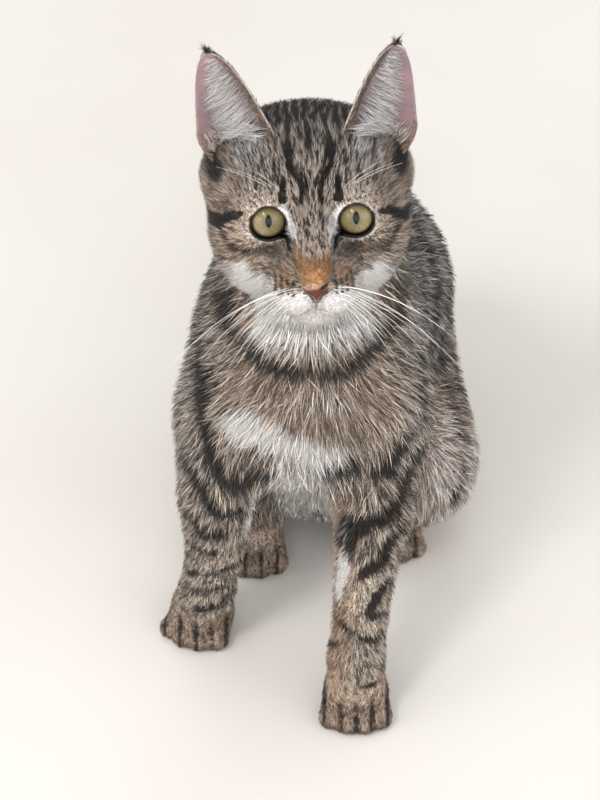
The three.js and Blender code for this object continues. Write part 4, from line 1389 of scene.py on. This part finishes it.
def ear_layers(inner, outer):
    """Hairs, range up, edge, range aside, out, reach, spread, widths, marks, droop and tick of each kind."""
    return [
        # long pale hair from the inner edge across the opening
        (820, (0.02, 0.96), inner, (0.02, 0.82), 0.6, across_opening(outer), [1.6, 1.8, 0.6], (0.10, 0.22),
         (0.0, 0.62, 0.0, 0.5), 0.09),
        # longer cream hair at the foot of the inner edge
        (240, (0.02, 0.2), inner, (0.2, 0.95), 0.6, (1, outer * 9, 3.5), [3, 2, 1], (0.16, 0.3),
         (0.0, 0.62, 0.1, 0.2), 0.12),
        # short dense fur on the back
        (4200, (-0.02, 0.985), 1, (-0.985, 0.985), -0.5, (3.6, 0, -0.7), [0.7, 0.5, 0.15], (0.35, 0.55),
         (0.30, 0.0, 0.35, 0.4)),
        # ticked fur just inside the inner edge
        (1500, (0.02, 0.94), inner, (0.76, 0.975), 0.5, (2.8, 0, 0.9), [0.6, 0.5, 0.2], (0.28, 0.42),
         (0.34, 0.0, 0.35, 0.2)),
        # the cream rim, lying along the edge
        (2400, (-0.02, 0.985), None, (0.965, 1.0), 0.1, (2.4, 0, 0.15), [0.4, 0.12, 0.12], (0.28, 0.42),
         (0.0, 0.40, 0.55, 0.0), None, (0.6, 1)),
        # the rusty pocket at the foot of the outer edge
        (420, (-0.12, 0.20), outer, (0.84, 1.0), 0.2, (2.6, 0, 0.5), [0.5, 0.3, 0.3], (0.3, 0.45),
         (0.26, 0.1, 0.6, 0.0)),
        (240, (-0.12, 0.08), outer, (0.25, 0.75), 0.5, (5.5, outer * 1.5, 2.2), [1.2, 1, 0.6], (0.3, 0.5),
         (0.0, 0.35, 0.45, 0.0), 0.08),
        # the dark tassel
        (70, (0.93, 0.985), 1, (-0.6, 0.6), -0.4, (4.6, outer * 1.6, -0.5), [1.3, 0.8, 0.4], (0.28, 0.4),
         (0.75, 0.0, 0.3, 0.3), -0.03),
    ]


# %% The coat on the ears
ear_batches = []
for side_name, sign in SIDES.items():
    for layer in ear_layers(-sign * OUTER_SIGN, sign * OUTER_SIGN):
        ear_batches.append(ear_layer(side_name, *layer))
ear_coat = coat_piece("coat_ears", ear_batches)
print("ear coat", clock())

# %% [markdown]
# ## Eyes
# A cat's cornea is a wide clear dome over a flat iris with a slit pupil. The eyeball is one turned
# shape, a sphere with the dome's bulge on the side it looks with. The iris is painted by radius and
# angle under a clear coat, which gives the wet highlight; a separate glass shell would be lost or
# turn dark in the export.

# %% Eyeballs
GAZE_UP, GAZE_IN = math.radians(6.0), math.radians(1.5)
DOME_ANGLE, DOME_RISE = math.radians(52), 0.75
FAR_OFF = 40.0                     # a place well outside the iris, for the back of the ball


def eyeball(name):
    sign = SIDES[name]
    centre = EYE_CENTRE * [sign, 1, 1]
    gaze = turn("y", -sign * GAZE_IN) @ turn("x", -GAZE_UP)
    rows, spokes, ball_radius = 56, 72, EYE_RADIUS - BALL_GAP
    tilt = np.linspace(0, math.pi, rows)[1:-1]
    points, flat_place = [], []
    for angle in tilt:
        radius = ball_radius + DOME_RISE * (1 - smoothstep(np.array([angle]), 0.0, DOME_ANGLE))[0]
        for spoke in range(spokes):
            turned = 2 * math.pi * spoke / spokes
            direction = np.array([math.sin(angle) * math.cos(turned), math.sin(angle) * math.sin(turned),
                                  math.cos(angle)])
            points.append(centre + gaze @ direction * radius)
            flat_place.append(direction[:2] * (EYE_RADIUS if direction[2] > 0 else FAR_OFF))
    front = len(points)
    points += [centre + gaze @ [0, 0, ball_radius + DOME_RISE], centre - gaze @ [0, 0, ball_radius]]
    flat_place += [np.zeros(2), np.array([FAR_OFF, 0.0])]
    bands = len(tilt)
    faces = []
    for i in range(bands - 1):
        for j in range(spokes):
            a, b = i * spokes + j, i * spokes + (j + 1) % spokes
            faces += [(a, a + spokes, b), (b, a + spokes, b + spokes)]
    last = (bands - 1) * spokes
    for j in range(spokes):
        k = (j + 1) % spokes
        faces += [(front, j, k), (front + 1, last + k, last + j)]
    ball = make_object(f"eyeball_{name}", from_head(np.array(points)), faces)
    place = ball.data.attributes.new("iris", "FLOAT_VECTOR", "POINT")
    flat_place = np.column_stack([flat_place, np.zeros(len(points))]).astype(np.float32)
    place.data.foreach_set("vector", flat_place.ravel())
    return ball


eyeballs = {name: eyeball(name) for name in SIDES}
print("eyes", [len(ball.data.polygons) for ball in eyeballs.values()])

# %% [markdown]
# ## Whiskers and claws
# Whiskers are stiff tapered hairs in four rows on each pad, with a few over the eyes. Each is a tube
# swept along a gentle curve. The claws of a resting cat stay nearly hidden: a small curved horn tip
# in the fur at the end of each toe.

# %% Tapered tubes
def tube(path, radii, sides=5):
    """Vertices and faces of a closed tube along a path, with a radius at each point."""
    path = np.asarray(path, float)
    ahead = np.gradient(path, axis=0)
    ahead /= np.linalg.norm(ahead, axis=1, keepdims=True)
    reference = np.array([0.13, 0.31, 0.94])          # a direction that no tube follows
    side = np.cross(ahead, reference)
    side /= np.linalg.norm(side, axis=1, keepdims=True)
    up = np.cross(side, ahead)
    turned = 2 * np.pi * np.arange(sides) / sides
    ring = side[:, None] * np.cos(turned)[None, :, None] + up[:, None] * np.sin(turned)[None, :, None]
    points = (path[:, None] + ring * np.asarray(radii)[:, None, None]).reshape(-1, 3)
    faces = []
    for i in range(len(path) - 1):
        for j in range(sides):
            a, b = i * sides + j, i * sides + (j + 1) % sides
            faces += [(a, b, b + sides), (a, b + sides, a + sides)]
    last = (len(path) - 1) * sides
    for j in range(1, sides - 1):
        faces += [(0, j + 1, j), (last, last + j, last + j + 1)]
    return points, np.array(faces)


def joined_tubes(name, tubes):
    points, faces, base = [], [], 0
    for tube_points, tube_faces in tubes:
        points.append(tube_points)
        faces.append(tube_faces + base)
        base += len(tube_points)
    return make_object(name, np.concatenate(points), np.concatenate(faces))


def hair_path(root, direction, length, bend, steps=12):
    """A curve from a root along a direction, bending by the given vector at its tip, in head space."""
    t = np.linspace(0, 1, steps)[:, None]
    direction = np.asarray(direction, float)
    direction /= np.linalg.norm(direction)
    return from_head(np.asarray(root) + direction * length * t + np.asarray(bend) * t * t)


# %% Whiskers
whisker_tubes = []
for side_name, sign in SIDES.items():
    for row in range(4):
        for place in range(4 if row in (1, 2) else 2):
            root = np.array([sign * (8.5 + 2.4 * place), -20.2 - 2.1 * row - 0.25 * place,
                             21.0 - 1.3 * place - 0.3 * row])
            length = (32 + 9 * place) * (1.0 - 0.08 * row) * rng.uniform(0.8, 1.15)
            direction = [sign, -0.05 - 0.24 * row + rng.normal(0, 0.07), 0.30 - 0.10 * place]
            bend = [-sign * 0.10 * length, -0.36 * length, -0.16 * length]
            path = hair_path(root, direction, length, bend)
            whisker_tubes.append(tube(path, np.linspace(0.115, 0.03, len(path))))
    for place in range(3):
        root = [sign * (13.5 + 2.2 * place), 12.5 + 0.5 * place, -3.5 - 0.5 * place]
        length = rng.uniform(20, 30)
        path = hair_path(root, [sign * (0.35 + 0.15 * place), 0.75, 0.65], length, [sign * 5, -3, -4])
        whisker_tubes.append(tube(path, np.linspace(0.08, 0.03, len(path))))
whiskers = joined_tubes("whiskers", whisker_tubes)
print("whiskers", len(whisker_tubes))


# %% Claws
def claw(root, ahead):
    t = np.linspace(0, 1, 7)
    path = np.array(root) + np.outer(t * 3.0, ahead) + np.outer(0.7 * np.sin(t * math.pi * 0.9), [0, 0, 1.0])
    path[:, 2] -= 1.4 * t ** 2
    path[:, 2] = np.maximum(path[:, 2], 0.8)
    return tube(path, 0.55 * (1 - t) ** 0.6 + 0.06, sides=6)


claw_tubes = []
feet = [(forepaw[name], FOREPAW_REACH) for name in SIDES]
feet += [(hind_foot[name], HIND_PAW_REACH) for name in SIDES]
for foot, reach in feet:
    for toe_root, toe_tip in toes(foot, reach):
        ahead = np.array(toe_tip[:3]) - np.array(toe_root[:3])
        ahead[2] = 0
        ahead /= np.linalg.norm(ahead)
        claw_tubes.append(claw(np.array(toe_tip[:3]) + ahead * 2.0 + [0, 0, 0.4], ahead))
claws = joined_tubes("claws", claw_tubes)
print("claws", len(claw_tubes))

# %% [markdown]
# ## Materials
# Nodes are written as expressions: a small class wraps a socket, so that a mask can be multiplied or
# subtracted like a number, and one method adds any other node.

# %% A socket that does arithmetic
class Sock:
    """A node output. Arithmetic on it adds Math nodes."""

    def __init__(self, tree, output):
        self.tree, self.output = tree, output

    def node(self, kind, settings=None, sockets=None, outlet=0, **named):
        return add_node(self.tree, kind, settings, sockets, outlet, **named)

    def outlets(self, count):
        """The first few outputs of the same node."""
        return [Sock(self.tree, self.output.node.outputs[k]) for k in range(count)]

    def math(self, operation, *others):
        return self.node("ShaderNodeMath", {"operation": operation}, dict(enumerate((self, *others))))

    def __add__(self, other):
        return self.math("ADD", other)

    def __sub__(self, other):
        return self.math("SUBTRACT", other)

    def __mul__(self, other):
        return self.math("MULTIPLY", other)

    def __truediv__(self, other):
        return self.math("DIVIDE", other)

    def __rsub__(self, other):
        return (self * -1) + other

    __radd__, __rmul__ = __add__, __mul__

    def clamp(self):
        return self.node("ShaderNodeClamp", Value=self)

    def step(self, low, high):
        """0 below low, 1 above high, smooth between."""
        return self.node("ShaderNodeMapRange", {"interpolation_type": "SMOOTHSTEP"}, Value=self,
                         From_Min=low, From_Max=high)


# %% Any other node
def plug(tree, socket, value):
    if isinstance(value, Sock):
        tree.links.new(value.output, socket)
    else:
        socket.default_value = value


def add_node(tree, kind, settings=None, sockets=None, outlet=0, **named):
    """Any node: its type, its settings, its sockets by place or by name (_ for a space), its outlet."""
    node = tree.nodes.new(kind)
    for key, value in (settings or {}).items():
        setattr(node, key, value)
    for key, value in (sockets or {}).items():
        plug(tree, node.inputs[key], value)
    for key, value in named.items():
        plug(tree, node.inputs[key.replace("_", " ")], value)
    return Sock(tree, node.outputs[outlet])


# %% Colours and materials
MIX_FACTOR, MIX_A, MIX_B, MIX_RESULT = 0, 6, 7, 2          # places of a Mix node's colour sockets


def mix(a, b, factor):
    """Colour a where the factor is 0, colour b where it is 1."""
    sockets = {MIX_FACTOR: factor, MIX_A: a, MIX_B: b}
    return factor.node("ShaderNodeMix", {"data_type": "RGBA"}, sockets, MIX_RESULT)


def linear(level):
    """A display level from 0 to 255 as an amount of light."""
    return level / 255 / 12.92 if level <= 10 else ((level / 255 + 0.055) / 1.055) ** 2.4


def colour(red, green, blue):
    return linear(red), linear(green), linear(blue), 1.0


def new_material(name, roughness, **constants):
    """A Principled material, its tree, and its shader node with the constants set."""
    material = bpy.data.materials.new(name)
    material.use_nodes = True
    tree = material.node_tree
    shader = tree.nodes["Principled BSDF"]
    shader.inputs["Roughness"].default_value = roughness
    for key, value in constants.items():
        shader.inputs[key.replace("_", " ")].default_value = value
    return material, tree, shader


def masks(tree, name):
    """The channels of a colour attribute: red, green, blue and alpha."""
    read = add_node(tree, "ShaderNodeAttribute", {"attribute_name": name}, outlet="Color")
    alpha = Sock(tree, read.output.node.outputs["Alpha"])
    return read.node("ShaderNodeSeparateColor", Color=read).outlets(3) + [alpha]


# %% [markdown]
# ## The colour of the hair
# The hairs of a tabby are banded: grey at the root, buff in the middle and dark at the tip. An image
# could hold the coat as a whole, but not each hair of it. So the colour is worked out at every point
# from the four masks, the place along the hair, and two chance numbers that each lock carries.

# %% Coat colours
BUFF, BUFF_DARK = colour(228, 211, 195), colour(50, 39, 31)
GREY, GREY_DARK = colour(196, 189, 183), colour(38, 35, 34)
RUST, RUST_DARK = colour(190, 142, 96), colour(84, 59, 40)
BAR, BAR_LIGHT = colour(18, 15, 14), colour(58, 49, 42)
WHITE, WHITE_SHADE = colour(244, 241, 239), colour(188, 178, 172)
DEEP_SHADE = colour(30, 26, 24)               # between the roots of the hair


def coat_colour(tree, along, tick, shade):
    """The colour of hair at a place, from the four masks, the place along a hair and its two chances."""
    dark, white, warm, cool = masks(tree, "pattern")
    tipped = along.step(0.20, 0.50) * (1 - tick.step(0.40, 0.56))          # nearly half the hairs end dark
    light = (along.step(0.06, 0.34) * (1 - tipped * (1 - warm * 0.5)) * (0.62 + shade * 0.5)).clamp()
    ticked = mix(mix(BUFF_DARK, BUFF, light), mix(GREY_DARK, GREY, light), cool)
    ticked = mix(ticked, mix(RUST_DARK, RUST, light), warm)
    barred = mix(BAR, BAR_LIGHT, (light * tick).clamp())
    pale = mix(WHITE_SHADE, WHITE, (0.15 + along.step(0.1, 0.6) * 0.4 + tick * 0.8).clamp())
    is_dark = (dark + tick * 0.5 - 0.25).step(0.34, 0.56)
    is_white = (white + tick * 0.6 - 0.3).step(0.22, 0.62)
    return mix(mix(ticked, barred, is_dark), pale, is_white)


def coat_material():
    material, tree, shader = new_material("coat_fur", 0.62, Specular_IOR_Level=0.20, Sheen_Weight=0.05,
                                          Sheen_Roughness=0.5)
    along, tick, shade, _ = masks(tree, "hair")
    hair = coat_colour(tree, along, tick, shade)
    depth_shade = (0.55 + along * 0.5 + shade * 0.16).clamp()
    shaded = mix(DEEP_SHADE, hair, depth_shade)
    plug(tree, shader.inputs["Base Color"], shaded)
    plug(tree, shader.inputs["Roughness"], 0.5 + tick * 0.22)
    return material


# %% [markdown]
# ## The finish of the bare skin
# Bare skin is matt and a little uneven. The nose pad is a field of tiny pebbles, damp enough to shine
# slightly. Pebbles that small would cost far too many faces, so a Voronoi texture feeds a Bump node,
# and the same texture paints shade into the creases between them.

# %% Finish of the skin
PAD_DARK, PAD_LIGHT, PAD_CREASE_SHADE = colour(68, 33, 19), colour(100, 48, 28), colour(74, 42, 34)
EAR_PINK, EAR_GREY = colour(140, 114, 116), colour(120, 103, 109)
SKIN_SHADE, RIM_BLACK = colour(24, 20, 18), colour(22, 16, 15)
SKIN_RELIEF = 0.0003               # metres


def skin_material():
    material, tree, shader = new_material("skin", 0.6, Specular_IOR_Level=0.22)
    where = add_node(tree, "ShaderNodeTexCoord", outlet="Object")
    strands = where.node("ShaderNodeTexNoise", Vector=where, Scale=900.0, Detail=3.0)
    hair = coat_colour(tree, strands * 0.9, strands, strands)
    nose, rim, ear, _ = masks(tree, "bare")
    pebbles = where.node("ShaderNodeTexVoronoi", {"feature": "DISTANCE_TO_EDGE"}, Vector=where, Scale=1900.0)
    blotch = where.node("ShaderNodeTexNoise", Vector=where, Scale=120.0, Detail=4.0)
    pad = mix(PAD_DARK, PAD_LIGHT, blotch.step(0.3, 0.7))
    # Painted shade in the creases between the pebbles.
    pad = mix(PAD_CREASE_SHADE, pad, pebbles.step(0.0, 0.10))
    lilac = mix(EAR_PINK, EAR_GREY, blotch.step(0.35, 0.65))
    furred = mix(SKIN_SHADE, hair, (strands * 0.6 + 0.55).clamp())
    painted = mix(mix(mix(furred, lilac, ear), pad, nose), RIM_BLACK, rim)
    height = pebbles.step(0.0, 0.12) * nose + strands * 0.5 * (1 - nose)
    bump = height.node("ShaderNodeBump", Height=height, Strength=0.35, Distance=SKIN_RELIEF)
    plug(tree, shader.inputs["Base Color"], painted)
    plug(tree, shader.inputs["Roughness"], 0.62 - nose * 0.20 - rim * 0.26)
    plug(tree, shader.inputs["Normal"], bump)
    return material


# %% [markdown]
# ## The finish of the eyes
# The iris is a ring of fine fibres, amber at its outer edge and greener near the pupil, with the
# shadow of the upper lid across its top. A flat image could hold it, but the fibres come more simply
# from noise that is read round the ring. The pupil is a slit, drawn over the rest.

# %% Finish of the eyes
PUPIL_HALF, PUPIL_RISE = (1.35, 2.7), 0.7
AMBER_DARK, AMBER = colour(92, 80, 52), colour(152, 138, 102)
GREEN_DARK, GREEN = colour(78, 80, 60), colour(128, 126, 98)
LID_SHADOW, IRIS_EDGE = colour(84, 76, 44), colour(64, 54, 32)
EYE_BLACK, PUPIL_BLACK = colour(18, 14, 12), colour(6, 6, 7)


def eye_material():
    material, tree, shader = new_material("eye", 0.35, Specular_IOR_Level=0.1, Coat_Weight=0.6,
                                          Coat_Roughness=0.02, Coat_IOR=1.38)
    place = add_node(tree, "ShaderNodeAttribute", {"attribute_name": "iris"}, outlet="Vector")
    x, y = place.node("ShaderNodeSeparateXYZ", Vector=place).outlets(2)
    radius = (x * x + y * y).math("SQRT")
    round_place = place.node("ShaderNodeVectorMath", {"operation": "NORMALIZE"}, {0: place})
    fibres = place.node("ShaderNodeTexNoise", Vector=round_place, Scale=16.0, Detail=5.0, Roughness=0.7)
    speckle = place.node("ShaderNodeTexNoise", Vector=place, Scale=0.9, Detail=3.0)
    outer = mix(AMBER_DARK, AMBER, (fibres * 0.9 + speckle * 0.35).step(0.25, 0.95))
    inner = mix(GREEN_DARK, GREEN, fibres)
    iris = mix(inner, outer, (radius + speckle * 1.2).step(2.2, 4.2))
    # Painted shadow of the upper lid across the top of the iris.
    iris = mix(iris, LID_SHADOW, (y + fibres * 0.8).step(2.4, 6.2) * 0.75)
    iris = mix(iris, IRIS_EDGE, (radius + fibres * 0.8).step(5.9, 7.6))
    iris = mix(iris, EYE_BLACK, radius.step(7.4, 8.2))
    across, along = x / PUPIL_HALF[0], (y - PUPIL_RISE) / PUPIL_HALF[1]
    slit = (across * across + along * along).math("SQRT")
    pointed = slit + (across.math("ABSOLUTE") * along.math("ABSOLUTE")) * 0.25
    plug(tree, shader.inputs["Base Color"], mix(PUPIL_BLACK, iris, pointed.step(0.94, 1.08)))
    return material


# %% Finish of whiskers, claws and floor
def plain_material(name, low, high, scale, roughness, **constants):
    """A finish that varies gently between two colours."""
    material, tree, shader = new_material(name, roughness, **constants)
    where = add_node(tree, "ShaderNodeTexCoord", outlet="Object")
    cloud = where.node("ShaderNodeTexNoise", Vector=where, Scale=scale, Detail=4.0)
    plug(tree, shader.inputs["Base Color"], mix(low, high, cloud.step(0.35, 0.65)))
    plug(tree, shader.inputs["Roughness"], roughness - 0.08 + cloud * 0.16)
    return material


def dress(obj, material):
    obj.data.materials.clear()
    obj.data.materials.append(material)


# %% Dress the pieces
fur = coat_material()
for piece in body_pieces + face_pieces + [ear_coat]:
    dress(piece, fur)
dress(skin, skin_material())
wet_eye = eye_material()
for ball in eyeballs.values():
    dress(ball, wet_eye)
dress(whiskers, plain_material("whisker", colour(236, 233, 228), colour(250, 248, 245), 40, 0.35))
dress(claws, plain_material("claw_horn", colour(196, 178, 160), colour(226, 212, 196), 900, 0.3))

# %% [markdown]
# ## Floor, light and camera
# The model sits on a plain pale floor in broad soft light from the front and both sides. A small key
# light, high on the cat's right, gives the eyes their highlight. The camera looks down on the model
# from a metre above the floor.

# %% Floor
FLOOR_HALF, FLOOR_DROP = 3000.0, 0.05
corners = [(i * FLOOR_HALF, j * FLOOR_HALF, -FLOOR_DROP) for i, j in ((-1, -1), (1, -1), (1, 1), (-1, 1))]
floor = make_object("floor", np.array(corners), [(0, 1, 2, 3)], smooth=False)
dress(floor, plain_material("floor_paper", colour(226, 220, 212), colour(232, 227, 220), 3, 0.9))


# %% Lights
def area_light(name, place, target, size, power, tint):
    light = bpy.data.lights.new(name, "AREA")
    light.energy, light.size, light.color = power, size, tint
    lamp = bpy.data.objects.new(name, light)
    bpy.context.scene.collection.objects.link(lamp)
    lamp.location = Vector(place)
    lamp.rotation_euler = (Vector(target) - Vector(place)).to_track_quat("-Z", "Y").to_euler()
    return lamp


HEART = (0.0, -0.06, 0.16)
area_light("key", (-0.8, -1.2, 1.9), HEART, 0.4, 14, (1.0, 0.985, 0.96))
area_light("fill", (0.3, -2.4, 0.4), HEART, 2.4, 37, (1.0, 0.99, 0.98))
area_light("left_side", (-1.8, -1.3, 0.3), HEART, 1.6, 28, (1.0, 0.99, 0.98))
area_light("right_side", (1.8, -1.3, 0.3), HEART, 1.6, 21, (0.98, 0.99, 1.0))
area_light("top", (0.1, 0.5, 2.0), HEART, 1.2, 5, (1.0, 1.0, 1.0))
world = bpy.data.worlds.new("room")
bpy.context.scene.world = world
world.use_nodes = True
world.node_tree.nodes["Background"].inputs["Color"].default_value = (0.97, 0.98, 1.0, 1)
world.node_tree.nodes["Background"].inputs["Strength"].default_value = 0.80
bpy.context.scene.view_settings.view_transform = "Standard"

# %% Camera
CAMERA_DISTANCE, CAMERA_ELEVATION = 1250.0, math.radians(42)
AIM = np.array([0.0, 0.0, 172.0])
FRAME_HEIGHT, FOCAL_PIXELS, SENSOR = 800, 2930, 36.0
camera_data = bpy.data.cameras.new("camera")
camera = bpy.data.objects.new("camera", camera_data)
bpy.context.scene.collection.objects.link(camera)
camera_at = AIM + CAMERA_DISTANCE * np.array([0, -math.cos(CAMERA_ELEVATION), math.sin(CAMERA_ELEVATION)])
camera.location = Vector(in_metres(camera_at))
camera.rotation_euler = Vector(in_metres(AIM) - in_metres(camera_at)).to_track_quat("-Z", "Y").to_euler()
camera_data.lens = SENSOR * FOCAL_PIXELS / FRAME_HEIGHT
bpy.context.scene.camera = camera
print("lens", round(camera_data.lens, 1), "mm")

# %% [markdown]
# ## Handing over
# Every piece rides on the one body. The skin stands for all the nodes of flesh, each eyeball for its
# eye.

# %% Ride, replace and finish
flesh = [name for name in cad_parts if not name.startswith("eye_")]
pieces = body_pieces + face_pieces + [ear_coat, skin, whiskers, claws] + list(eyeballs.values())
for piece in pieces:
    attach(piece, "root")
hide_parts(*flesh)
for side_name, ball in eyeballs.items():
    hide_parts(f"eye_{side_name}")


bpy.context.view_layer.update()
print("triangles", sum(len(piece.data.loop_triangles) or len(piece.data.polygons) for piece in pieces))
print("done in", clock())
